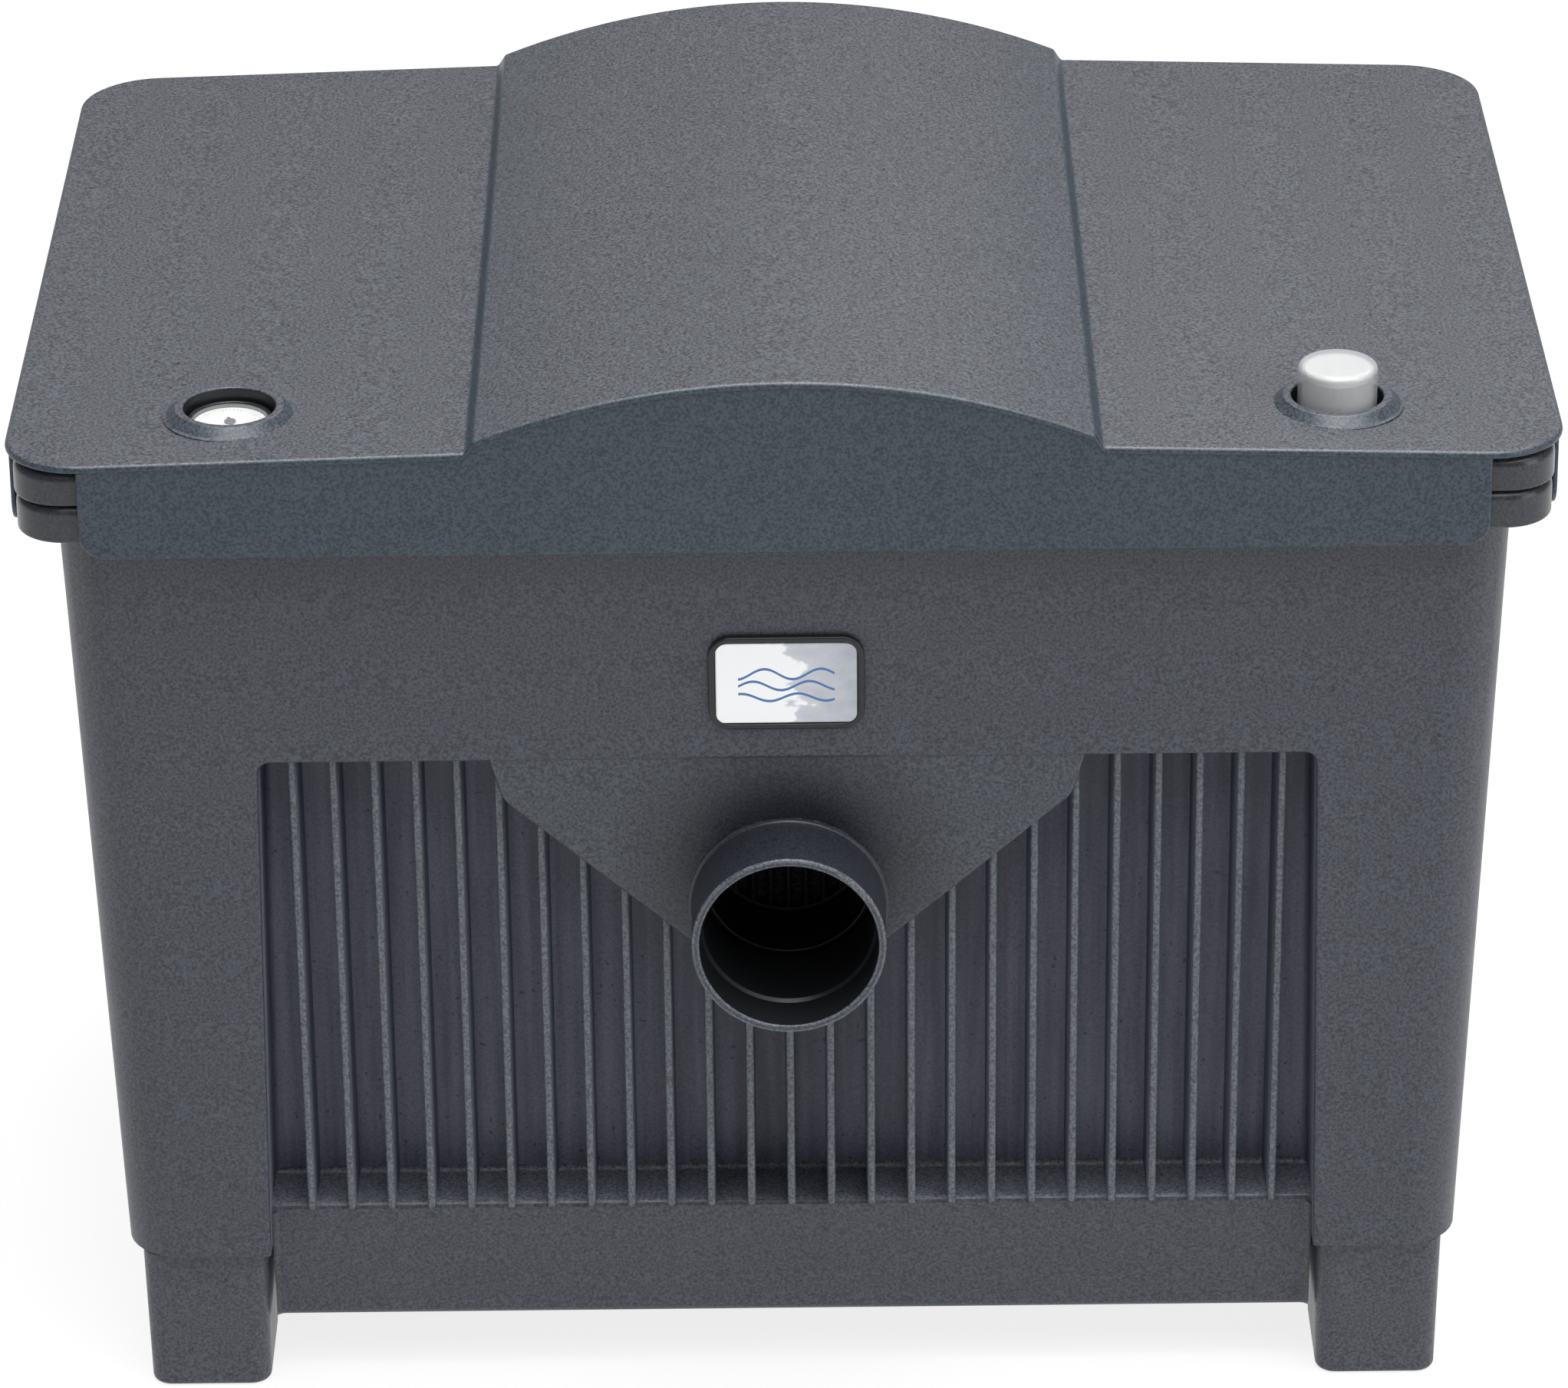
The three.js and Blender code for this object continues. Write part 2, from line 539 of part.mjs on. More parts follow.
function indicatorFloat() {
  const { floatRadius, floatEdge, floatZ } = sight;
  return turned([[0, floatZ], [floatRadius - floatEdge, floatZ], [floatRadius, floatZ + floatEdge],
    [floatRadius, floatTopZ - floatEdge], [floatRadius - floatEdge, floatTopZ], [0, floatTopZ]]);
}

// ---------------------------------------------------------------- lid

const flankZ = (x) => lid.edgeZ + lid.slope * (lid.halfX - Math.abs(x));

// the lid's upper surface from right to left, lowered by drop
function lidProfile(drop) {
  const points = [[lid.halfX, flankZ(lid.halfX) - drop], [arch.footX, flankZ(arch.footX) - drop]];
  for (let k = 0; k <= arch.steps; k += 1) {
    const x = arch.halfX * (1 - (2 * k) / arch.steps);
    points.push([x, arch.topZ - arch.radius + Math.sqrt(arch.radius ** 2 - x ** 2) - drop]);
  }
  points.push([-arch.footX, flankZ(arch.footX) - drop], [-lid.halfX, flankZ(lid.halfX) - drop]);
  return points;
}

const polygon = (points) => new THREE.Shape(points.map(([x, z]) => new THREE.Vector2(x, z)));

function frontApron() {
  const below = [[-lid.halfX, lid.apronZ - 20], [lid.halfX, lid.apronZ - 20]];
  const filled = lengthwise(polygon([...lidProfile(1), ...below]), -lid.halfY, -lid.halfY + lid.skin);
  const middle = (lid.apronZ + arch.topZ + 60) / 2;
  const outline = roundedRect(lid.apronHalfX, middle - lid.apronZ, lid.apronCorner);
  return filled.intersect(lengthwise(outline, -FAR, FAR).translate([0, 0, middle]));
}

function sideApron() {
  const middle = (lid.apronZ + lid.edgeZ - 1) / 2;
  const outline = roundedRect(lid.apronHalfY, middle - lid.apronZ, lid.apronCorner);
  return quarterTurn(lengthwise(outline, 0, lid.skin)).translate([lid.halfX, 0, middle]);
}

function lidBody() {
  const profile = polygon([...lidProfile(0), ...lidProfile(lid.skin).reverse()]);
  const plan = solid(upright(roundedRect(lid.halfX, lid.halfY, lid.corner), lid.apronZ - 9, FAR * 2));
  const skinPlate = lengthwise(profile, -FAR, FAR).intersect(plan);
  const aprons = [frontApron(), mirrorY(frontApron()), sideApron(), mirrorX(sideApron())];
  const filled = lengthwise(polygon([...lidProfile(1), [-lid.halfX, 400], [lid.halfX, 400]]), -FAR, FAR);
  const [ribHalf, ribZ] = [lid.ribThick / 2, lid.edgeZ - lid.ribDrop];
  const stiffeners = [-lid.ribY, lid.ribY].map((y) =>
    filled.intersect(box(-lid.ribHalfX, lid.ribHalfX, y - ribHalf, y + ribHalf, ribZ, FAR * 2)));
  const [collarIn, collarZ] = [well.hole / 2, lid.edgeZ - 1];
  const collar = [[collarIn, collarZ], [well.foot, collarZ], [well.foot, flankZ(well.x) + 0.2],
    [well.flat + 0.4, well.topZ - 0.4], [well.flat, well.topZ], [collarIn, well.topZ]];
  const bezel = solid(turned(collar, 32)).translate([well.x, well.y, 0]);
  const hole = barZ(well.hole, well.x, well.y, 410, 440, 32);
  return cut(join(skinPlate, ...aprons, ...stiffeners, bezel, mirrorX(bezel)), hole, mirrorX(hole));
}

// ---------------------------------------------------------------- assembly

function piece(name, form, material) {
  const mesh = new THREE.Mesh(form.isBufferGeometry ? form : geometryOf(form), material);
  mesh.name = name;
  return mesh;
}

function placed(mesh, x, y, z) {
  mesh.position.set(x, y, z);
  return mesh;
}

function groupOf(...meshes) {
  const group = new THREE.Group();
  group.add(...meshes);
  return group;
}

const corners = [['front_left', -1, -1], ['front_right', 1, -1], ['back_left', -1, 1], ['back_right', 1, 1]];
const feet = corners.map(([corner, sx, sy]) =>
  placed(piece(`foot_${corner}`, pushInFoot(), slate()), sx * foot.x, sy * foot.y, 0));

const foams = Array.from({ length: foam.count }, (_, k) => {
  const coarse = k % 2 === 0;
  const name = `${coarse ? 'coarse' : 'fine'}_foam_${Math.floor(k / 2) + 1}`;
  const x = (k - (foam.count - 1) / 2) * foam.step;
  return placed(piece(name, foamBlock(), coarse ? coarseFoamGrey() : fineFoamBlue()), x, 0, 0);
});

const badgePieces = groupOf(
  piece('badge_frame', badgeFrame(), black()),
  placed(piece('badge_plate', badgePlate(), white()), 0, 0, badge.plateDepth / 2 + GAP),
);
badgePieces.position.set(0, -skirtFaceY(badge.z) - GAP, badge.z);
badgePieces.rotation.x = Math.PI / 2 + Math.atan(DRAFT);

const walls = Object.entries(tubWalls()).map(([name, wall]) => piece(name, wall, slate()));

const gridLegs = [[-1, -1], [1, -1], [-1, 1], [1, 1]].map(([sx, sy], k) =>
  placed(piece(`grid_leg_${k + 1}`, baseGridLeg(), black()), sx * gridLeg.x, sy * gridLeg.y, 0));

const tub = groupOf(
  ...walls,
  placed(piece('outlet_spigot', outletSpigot(), slate()), 0, 0, outlet.z),
  ...feet,
  badgePieces,
  placed(piece('outlet_strainer', outletStrainer(), black()), 0, 0, outlet.z),
  placed(piece('strainer_grille', strainerGrille(), black()), 0, 0, outlet.z),
  piece('base_grid', baseGrid(), black()),
  ...gridLegs,
  ...foams,
);

const inletPieces = groupOf(
  piece('inlet_stub', inletStub(), black()),
  piece('inlet_gasket', inletGasket(), rubber()),
  piece('inlet_locknut', inletLocknut(), black()),
  piece('inlet_hose_tail', inletTail(), black()),
);
inletPieces.position.z = inlet.z;

const drainPieces = groupOf(
  piece('drain_spigot', drainSpigot(), black()),
  piece('drain_gasket', drainGasket(), rubber()),
  piece('drain_locknut', drainLocknut(), black()),
  piece('drain_cap_seal', drainSeal(), rubber()),
);
drainPieces.position.z = drain.z;

const thermometer = groupOf(
  piece('thermometer_housing', thermometerHousing(), black()),
  piece('thermometer_dial', thermometerDial(), white()),
  piece('thermometer_needle', thermometerNeedle(), black()),
  piece('thermometer_lens', thermometerLens(), clear()),
  piece('thermometer_probe', thermometerProbe(), steel()),
);
thermometer.position.set(-well.x, well.y, 0);

const indicator = groupOf(
  piece('sight_cap', sightCap(), clear()),
  piece('indicator_flag', indicatorFlag(), white()),
  piece('indicator_rod', indicatorRod(), steel()),
  piece('indicator_float', indicatorFloat(), orange()),
);
indicator.position.set(well.x, well.y, 0);

const filter = groupOf(
  tub,
  inletPieces,
  piece('inlet_union_nut', unionNutBody(), black()),
  drainPieces,
  piece('drain_cap', drainCap(), black()),
  piece('tray', trayBody(), slate()),
  thermometer,
  indicator,
  piece('lid', lidBody(), paleSlate()),
);
filter.position.y = -depthMiddle;

export default groupOf(filter);
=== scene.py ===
"""Looks of the box-type pond filter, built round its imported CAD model.

Every form below is written in millimetres from the middle of the lid, +Z up, with the outlet to -Y.
The sizes are the CAD model's; at_rest() puts them into the shared frame, in metres.
"""

import json
import math

import bmesh
import bpy
from mathutils import Matrix, Vector, noise


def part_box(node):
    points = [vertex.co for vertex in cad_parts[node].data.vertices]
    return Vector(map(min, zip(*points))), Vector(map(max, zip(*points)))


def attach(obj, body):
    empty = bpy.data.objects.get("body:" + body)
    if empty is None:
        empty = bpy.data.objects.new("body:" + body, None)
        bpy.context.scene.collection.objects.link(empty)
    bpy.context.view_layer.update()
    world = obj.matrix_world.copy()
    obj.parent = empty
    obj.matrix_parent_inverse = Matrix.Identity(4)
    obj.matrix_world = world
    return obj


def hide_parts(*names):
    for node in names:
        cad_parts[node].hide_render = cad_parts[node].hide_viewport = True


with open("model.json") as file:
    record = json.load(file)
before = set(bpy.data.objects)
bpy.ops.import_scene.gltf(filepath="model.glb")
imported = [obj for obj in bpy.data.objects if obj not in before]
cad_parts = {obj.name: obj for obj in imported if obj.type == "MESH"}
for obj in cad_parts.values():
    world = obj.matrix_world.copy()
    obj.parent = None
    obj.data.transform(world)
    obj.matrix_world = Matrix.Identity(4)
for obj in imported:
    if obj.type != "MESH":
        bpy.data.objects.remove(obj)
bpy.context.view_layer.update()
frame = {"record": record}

# ---------------------------------------------------------------- sizes, in millimetres

MM = 0.001
lid_low, lid_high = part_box("lid")
MIDDLE_Y = (lid_low.y + lid_high.y) / 2

LID_HALF_X = (lid_high.x - lid_low.x) / 2 / MM
LID_HALF_Y = (lid_high.y - lid_low.y) / 2 / MM
LID_CORNER = 31
LID_EDGE_Z = 421.5
LID_SKIN = 3
LID_SLOPE = 0.027
LID_TOP_Z = lid_high.z / MM
APRON_Z = lid_low.z / MM
APRON_HALF_X, APRON_HALF_Y, APRON_CORNER, APRON_SETBACK = 266, 171, 10, 0.7
STIFFENER_Y, STIFFENER_HALF_X, STIFFENER_Z = 80, 262, 407.5

ARCH_HALF_X, ARCH_FOOT_X, ARCH_RADIUS = 117, 120.5, 311

WELL_X, WELL_Y, WELL_TOP_Z = 210.5, -159.5, 427.6
WELL_HOLE, WELL_FLAT, WELL_FOOT = 17.5, 20.3, 24.6

DRAFT = 0.0348
WALL = 4
GAP = 0.3
SKIRT_INSET, SKIRT_CORNER, SKIRT_BOTTOM_Z, SKIRT_TOP_Z = 16.2, 23, 25, 404.2
BEAD_HALF_X, BEAD_HALF_Y, BEAD_CORNER, BEAD_BOTTOM_Z, BEAD_SKIN = 291, 200, 19, 389, 2.6

TRAY_HALF_X, TRAY_HALF_Y, TRAY_RIM_Z, TRAY_TOP_Z = 291.5, 200.5, 404.5, 418.2
TRAY_FLOOR_Z, TRAY_SKIN, TRAY_INSET = 372, 2.6, 6.5
SLOT_PITCH_X, SLOT_PITCH_Y, SLOT_HALF_X, SLOT_HALF_Y = 98, 34, 40, 3

WINDOW_TOP_Z, WINDOW_DEPTH, WINDOW_FLARE, WINDOW_CORNER = 287, 39, 0.0185, 5
WINDOW_HALF = {"front": 204.3, "back": 204.3, "left": 105, "right": 105}
LEDGE_Z = 80
PANEL_DEPTH, PANEL_LEAN = 12, 0.1
RIB_PITCH, RIB_THICK, RIB_SETBACK, RIB_END_Z = 16, 3, 8.8, 79
RIB_HALF_COUNT = {"front": 12, "back": 12, "left": 6, "right": 6}
SIDES = ("front", "back", "left", "right")

BOSS_HALF_X, BOSS_CORNER_X, BOSS_CORNER_Z, BOSS_TOP_Z, BOSS_SETBACK = 116, 110.5, 269.5, 289, 0.7
OUTLET_Z, OUTLET_RADIUS, OUTLET_BORE, OUTLET_END_Y, OUTLET_INNER_Y = 221.6, 37.7, 34.7, -214.7, -134

FOOT_X, FOOT_Y, FOOT_TOP_Z, FOOT_HALF_X, FOOT_HALF_Y = 235.4, 142.4, 62.7, 25.2, 28.9
FOOT_TAPER, FOOT_WALL = 1.2, 3.5
NOTCH_X, NOTCH_Y = 208.3, 109

INLET_Z, INLET_RADIUS, INLET_BORE, INLET_SEAT = 338, 21, 15, 34
DRAIN_Z, DRAIN_RADIUS, DRAIN_BORE, DRAIN_SEAT, DRAIN_END_Y = 53, 17, 14, 24, 196

NUT_RADIUS, NUT_NECK, NUT_FROM_Y, NUT_SHOULDER_Y, NUT_COLLAR_Y, NUT_END_Y = 31, 20.8, 199, 206, 214, 219
TAIL_BORE, TAIL_COLLAR_Y, TAIL_END_Y = 11.5, 213, 276
DRAIN_CAP_RADIUS, DRAIN_CAP_FROM_Y = 21.5, 182

BADGE_Z, BADGE_HALF_X, BADGE_HALF_Z, BADGE_RIM = 321, 30, 20, 2.5
GRID_HALF_X, GRID_HALF_Y, GRID_CORNER, GRID_TOP_Z, GRID_THICK = 216, 121, 6, 90, 5
GRID_COLUMNS, GRID_ROWS, GRID_PITCH, GRID_SLOT, GRID_BAR = 10, 3, 42, 32, 9
LEG_RADIUS, LEG_X, LEG_Y, LEG_LOW_Z = 9, 126, 36, 29.8
FOAM_COUNT, FOAM_PITCH = 5, 86
FOAM_HALF_X, FOAM_HALF_Y, FOAM_LOW_Z, FOAM_TOP_Z = 41, 118, 90.4, 268

STRAINER_BORE, STRAINER_FRONT_Y, STRAINER_BACK_Y = 32.4, -156, -122
GRILLE_THICK, GRILLE_RIM, GRILLE_BAR, GRILLE_PITCH, GRILLE_HALF_COUNT = 2.5, 2, 2.6, 7, 4

INSTRUMENT_Z = TRAY_FLOOR_Z + TRAY_SKIN + GAP
HOUSING_RADIUS, HOUSING_NECK, HOUSING_TOP_Z = 16.3, 13.3, 422.8
PROBE_RADIUS, PROBE_LOW_Z, ROD_RADIUS = 4.8, 320, 2
SIGHT_RADIUS, SIGHT_WALL, SIGHT_TOP_Z = 15.2, 1.5, 440.5
DIAL_RADIUS, DIAL_FLOOR_Z, DIAL_Z, NEEDLE_Z, LENS_LOW_Z, LENS_Z = 14.4, 418.7, 420.7, 421.4, 421.8, 422.3
FLAG_RADIUS, FLAG_Z, FLAG_TOP_Z = 12.7, 435, 438.6
FLOAT_LOW_Z, FLOAT_HIGH = 306, 40
NEEDLE_DEG = -75
HALO_RISE = 18

EDGE_ROUND = 1.6
FLOOR_FILLET = 2.5


def face_x(z):
    """Half the tub's width at a height, over the drafted side walls."""
    return LID_HALF_X - SKIRT_INSET - (LID_EDGE_Z - z) * DRAFT


def face_y(z):
    """Half the tub's depth at a height, over the drafted front and back walls."""
    return LID_HALF_Y - SKIRT_INSET - (LID_EDGE_Z - z) * DRAFT


# ---------------------------------------------------------------- outlines


def quarter(radius, steps=4):
    """(inset, rise) pairs round a convex edge, from its end face over to its side."""
    turns = [k * math.pi / 2 / steps for k in range(steps + 1)]
    return [(radius * (1 - math.sin(a)), radius * (1 - math.cos(a))) for a in turns]


def filleted(corners, steps=4, closed=True):
    """The outline through (x, y, radius) corners, with each of them rounded by its radius."""
    points = []
    last = len(corners) - 1
    for k, (x, y, radius) in enumerate(corners):
        here = Vector((x, y))
        if radius <= 0 or (not closed and k in (0, last)):
            points.append((x, y))
            continue
        before = Vector(corners[k - 1][:2]) - here
        after = Vector(corners[(k + 1) % len(corners)][:2]) - here
        half = before.angle(after) / 2
        reach = min(radius / math.tan(half), before.length * 0.49, after.length * 0.49)
        middle = (before.normalized() + after.normalized()).normalized()
        centre = here + middle * reach / math.cos(half)
        start = here + before.normalized() * reach - centre
        end = here + after.normalized() * reach - centre
        turn = math.atan2(start.x * end.y - start.y * end.x, start.dot(end))
        for step in range(steps + 1):
            a = turn * step / steps
            c, s = math.cos(a), math.sin(a)
            points.append((centre.x + start.x * c - start.y * s, centre.y + start.x * s + start.y * c))
    return points


def rounded_rect(half_x, half_y, radius, steps=8):
    """A rectangle round the origin with rounded corners, anticlockwise."""
    corners = [(half_x, -half_y), (half_x, half_y), (-half_x, half_y), (-half_x, -half_y)]
    return filleted([(x, y, radius) for x, y in corners], steps)


# ---------------------------------------------------------------- closed forms


class Form:
    """Closed surfaces gathered for one mesh."""

    def __init__(self):
        self.points = []
        self.faces = []

    def loft(self, rings, loop=False):
        """Joins rings of as many points each, capped at both ends or closed into a loop."""
        start, count, layers = len(self.points), len(rings[0]), len(rings)
        for ring in rings:
            self.points.extend(ring)
        for layer in range(layers if loop else layers - 1):
            low = start + layer * count
            high = start + (layer + 1) % layers * count
            for k in range(count):
                after = (k + 1) % count
                self.faces.append((low + k, low + after, high + after, high + k))
        if not loop:
            self.faces.append(tuple(range(start, start + count)))
            self.faces.append(tuple(range(start + (layers - 1) * count, start + layers * count)))
        return self

    def turned(self, profile, centre=(0, 0, 0), axis="z", steps=64, loop=False):
        """A (radius, distance along the axis) profile turned about that axis."""
        rings = []
        for radius, along in profile:
            ring = []
            for k in range(steps):
                a = 2 * math.pi * k / steps
                u, v = radius * math.cos(a), radius * math.sin(a)
                x, y, z = (u, v, along) if axis == "z" else (u, along, v)
                ring.append((centre[0] + x, centre[1] + y, centre[2] + z))
            rings.append(ring)
        return self.loft(rings, loop)

    def upright(self, levels):
        """Outlines seen from above, each with its height: [(outline, z), ...]."""
        return self.loft([[(x, y, z) for x, y in outline] for outline, z in levels])

    def swept(self, profile, half_x, half_y, corner, steps=8):
        """A closed (offset outwards, z) profile carried round a rounded rectangle."""
        rings = []
        for offset, z in profile:
            outline = rounded_rect(half_x + offset, half_y + offset, corner + offset, steps)
            rings.append([(x, y, z) for x, y in outline])
        return self.loft(rings, loop=True)

    def moved(self, matrix):
        """The same form carried by a 4x4 matrix."""
        self.points = [tuple(matrix @ Vector(point)) for point in self.points]
        return self


def at_rest(point):
    return (point[0] * MM, point[1] * MM + MIDDLE_Y, point[2] * MM)


def made(form, name="tool"):
    """The form as a Blender object in the shared frame, with its faces pointing out."""
    mesh = bpy.data.meshes.new(name)
    mesh.from_pydata([at_rest(point) for point in form.points], [], form.faces)
    shape = bmesh.new()
    shape.from_mesh(mesh)
    bmesh.ops.recalc_face_normals(shape, faces=shape.faces)
    shape.to_mesh(mesh)
    shape.free()
    thing = bpy.data.objects.new(name, mesh)
    bpy.context.scene.collection.objects.link(thing)
    return thing


def combined(base, others, operation):
    """base with the other forms or objects joined on, cut out or kept in common."""
    tools = [made(other) if isinstance(other, Form) else other for other in others]
    for tool in tools:
        step = base.modifiers.new("step", "BOOLEAN")
        step.operation = operation
        step.solver = "MANIFOLD"
        step.object = tool
    bpy.context.view_layer.update()
    graph = bpy.context.evaluated_depsgraph_get()
    shaped = bpy.data.meshes.new_from_object(base.evaluated_get(graph))
    base.modifiers.clear()
    base.data = shaped
    for tool in tools:
        bpy.data.objects.remove(tool)
    return base


def joined(base, *others):
    return combined(base, others, "UNION")


def cut(base, *others):
    return combined(base, others, "DIFFERENCE")


def smoothed(thing, sharp_deg=35):
    """Smooth shading up to an angle; flat faces keep their own normals next to rounded edges."""
    shape = bmesh.new()
    shape.from_mesh(thing.data)
    bmesh.ops.remove_doubles(shape, verts=shape.verts, dist=1e-6)
    bmesh.ops.dissolve_limit(shape, angle_limit=math.radians(0.15), verts=shape.verts, edges=shape.edges)
    shape.to_mesh(thing.data)
    shape.free()
    thing.data.shade_smooth()
    thing.data.set_sharp_from_angle(angle=math.radians(sharp_deg))
    weighted = thing.modifiers.new("even normals", "WEIGHTED_NORMAL")
    weighted.keep_sharp = True
    return thing


def body_of(node):
    bodies = frame["record"]["behaviour"]["bodies"]
    return next(body for body, nodes in bodies.items() if node in nodes)


def finished(thing, name, material, slot, nodes=None):
    """Names a piece, gives it its finish and has it stand for its CAD node or nodes."""
    thing.name = name + "_piece"
    thing.data.name = thing.name
    thing.data.materials.clear()
    thing.data.materials.append(material)
    nodes = nodes or [name]
    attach(thing, body_of(nodes[0]))
    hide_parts(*nodes)
    return thing


def second_finish(thing, material, chosen):
    """Gives the faces that chosen(centre in millimetres) picks another material."""
    thing.data.materials.append(material)
    for face in thing.data.polygons:
        x, y, z = face.center
        if chosen(Vector((x / MM, (y - MIDDLE_Y) / MM, z / MM))):
            face.material_index = len(thing.data.materials) - 1


# ---------------------------------------------------------------- tub


def on_side(side, across, depth, z):
    """A point on one of the tub's four sides, measured across it, in behind its face and up."""
    if side == "front":
        return (across, depth - face_y(z), z)
    if side == "back":
        return (-across, face_y(z) - depth, z)
    if side == "left":
        return (depth - face_x(z), -across, z)
    return (face_x(z) - depth, across, z)


def skirt_outline(z, inset, corner):
    return rounded_rect(face_x(z) - inset, face_y(z) - inset, corner)


def skirt_form(low_z, top_z, inset, corner, low_round):
    """The tub's tapered outer form, set in evenly, with its lower edge rounded."""
    levels = [(skirt_outline(low_z + rise, inset + inward, corner - inward), low_z + rise)
              for inward, rise in quarter(low_round)]
    return Form().upright(levels + [(skirt_outline(top_z, inset, corner), top_z)])


def window_half(side, z):
    return WINDOW_HALF[side] + (WINDOW_TOP_Z - z) * WINDOW_FLARE


def window_outline(side, grow, low_z):
    """The ribbed window's outline, wider towards the ground, with its upper corners rounded."""
    top = WINDOW_TOP_Z + grow
    low_half = window_half(side, low_z) + grow
    top_half = window_half(side, WINDOW_TOP_Z) + grow
    corner = WINDOW_CORNER + grow
    foot = [(-low_half, low_z, 0), (low_half, low_z, 0)]
    return filleted([*foot, (top_half, top, corner), (-top_half, top, corner)], 6)


def deep_window(side, grow=0):
    """What is taken out behind the ribs, flared at the face so that its edge comes out rounded."""
    outside = [(-30, EDGE_ROUND)] + [(rise, inset) for inset, rise in quarter(EDGE_ROUND)]
    depth = WINDOW_DEPTH + grow
    inside = [(depth - rise, -inset) for inset, rise in reversed(quarter(FLOOR_FILLET))]
    lip = PANEL_DEPTH + grow
    ledge = [(lip + rise, -inset) for inset, rise in quarter(3)]
    rings = []
    for station, swell in outside:
        outline = window_outline(side, grow + swell, LEDGE_Z - grow - 3)
        rings.append([on_side(side, u, station, z) for u, z in outline])
    for station, drop in ledge:
        outline = window_outline(side, grow, LEDGE_Z - grow + drop)
        rings.append([on_side(side, u, station, z) for u, z in outline])
    for station, swell in inside:
        outline = window_outline(side, grow + swell, LEDGE_Z - grow - swell)
        rings.append([on_side(side, u, station, z) for u, z in outline])
    return Form().loft(rings)


def low_pocket(side, grow=0):
    """What is taken out below the ledge: a shallow panel that leans in towards the ground."""
    heights = [(-30, 4)] + [(SKIRT_BOTTOM_Z + rise, inset) for inset, rise in quarter(4)]
    heights.append((LEDGE_Z + 3, 0))
    rings = []
    for z, extra in heights:
        half = window_half(side, z) + grow
        depth = PANEL_DEPTH + grow + (LEDGE_Z - z) * (PANEL_LEAN - DRAFT) + extra
        flare = [(half + EDGE_ROUND, -30)] + [(half + inset, rise) for inset, rise in quarter(EDGE_ROUND)]
        corner = [(half - inset, depth - rise) for inset, rise in reversed(quarter(4))]
        right = flare + corner
        outline = right + [(-u, d) for u, d in reversed(right)]
        rings.append([on_side(side, u, d, z) for u, d in outline])
    return Form().loft(rings)


def rib_ring(side, across, z, inset):
    half, front, root = RIB_THICK / 2 - inset, RIB_SETBACK + inset, WINDOW_DEPTH + 2
    foot = half + 0.5
    outline = filleted([(-foot, root, 0), (-half, front, 1.1), (half, front, 1.1), (foot, root, 0)])
    return [on_side(side, across + u, d, z) for u, d in outline]


def ribs():
    """The blades in all four windows, with rounded fronts and lower ends."""
    form = Form()
    for side in SIDES:
        for k in range(-RIB_HALF_COUNT[side], RIB_HALF_COUNT[side] + 1):
            across = k * RIB_PITCH
            rings = [rib_ring(side, across, RIB_END_Z + rise, inset) for inset, rise in quarter(1.1)]
            rings.append(rib_ring(side, across, WINDOW_TOP_Z + 2, 0))
            form.loft(rings)
    return form


def boss_outline(grow):
    """The inverted triangle: its slanting sides run into the spigot's circle."""
    radius = OUTLET_RADIUS + grow
    corner_x = BOSS_CORNER_X + grow
    reach_z = BOSS_CORNER_Z - OUTLET_Z
    touch = math.atan2(reach_z, corner_x) - math.acos(radius / math.hypot(corner_x, reach_z))
    right = [(BOSS_HALF_X + grow, BOSS_TOP_Z, 0), (corner_x, BOSS_CORNER_Z, 13)]
    sweep = math.pi / 2 + touch
    for k in range(15):
        a = touch - sweep * k / 14
        right.append((radius * math.cos(a), OUTLET_Z + radius * math.sin(a), 0))
    left = [(-x, z, r) for x, z, r in reversed(right[:-1])]
    return filleted(right + left, 6)


def boss_form(grow=0, depth=WINDOW_DEPTH + 2):
    """The boss from the tub's face in to its core, with a rounded front edge."""
    stations = [(BOSS_SETBACK + rise - grow, grow - inset) for inset, rise in quarter(2)]
    stations.append((depth, grow + 0.7))
    return Form().loft([[on_side("front", u, station, z) for u, z in boss_outline(swell)]
                        for station, swell in stations])


def bar_y(radius, z, from_y, to_y, x=0, steps=64):
    return Form().turned([(radius, from_y), (radius, to_y)], (x, 0, z), "y", steps)


def bar_z(radius, x, y, from_z, to_z, steps=48):
    return Form().turned([(radius, from_z), (radius, to_z)], (x, y, 0), "z", steps)


def block(x0, x1, y0, y1, z0, z1):
    corners = [(x0, y0), (x1, y0), (x1, y1), (x0, y1)]
    return Form().upright([(corners, z0), (corners, z1)])


def foot_notches(grow):
    """Room for the feet under the four corners."""
    form = Form()
    for sx in (-1, 1):
        for sy in (-1, 1):
            x0, x1 = sorted((sx * (NOTCH_X - grow), sx * 400))
            y0, y1 = sorted((sy * (NOTCH_Y - grow), sy * 400))
            corners = [(x0, y0), (x1, y0), (x1, y1), (x0, y1)]
            form.upright([(corners, -10), (corners, FOOT_TOP_Z + 0.3 + grow)])
    return form


def foot_plugs():
    form = Form()
    for sx in (-1, 1):
        for sy in (-1, 1):
            outline = [(x + sx * FOOT_X, y + sy * FOOT_Y) for x, y in rounded_rect(21.3, 25, 4)]
            form.upright([(outline, 48), (outline, 66.7)])
    return form


def rolled_rim(half_x, half_y, corner, low_z, top_z, reach):
    """A rounded band round the top, open underneath, that stands off the wall."""
    profile = filleted([(0, low_z, 1.2), (0, top_z, 4.2), (-reach, top_z, 0), (-reach, top_z - 2.6, 0),
                        (-BEAD_SKIN, top_z - 2.6, 1.6), (-BEAD_SKIN, low_z, 1.2)], 5)
    return Form().swept(profile, half_x, half_y, corner, 10)


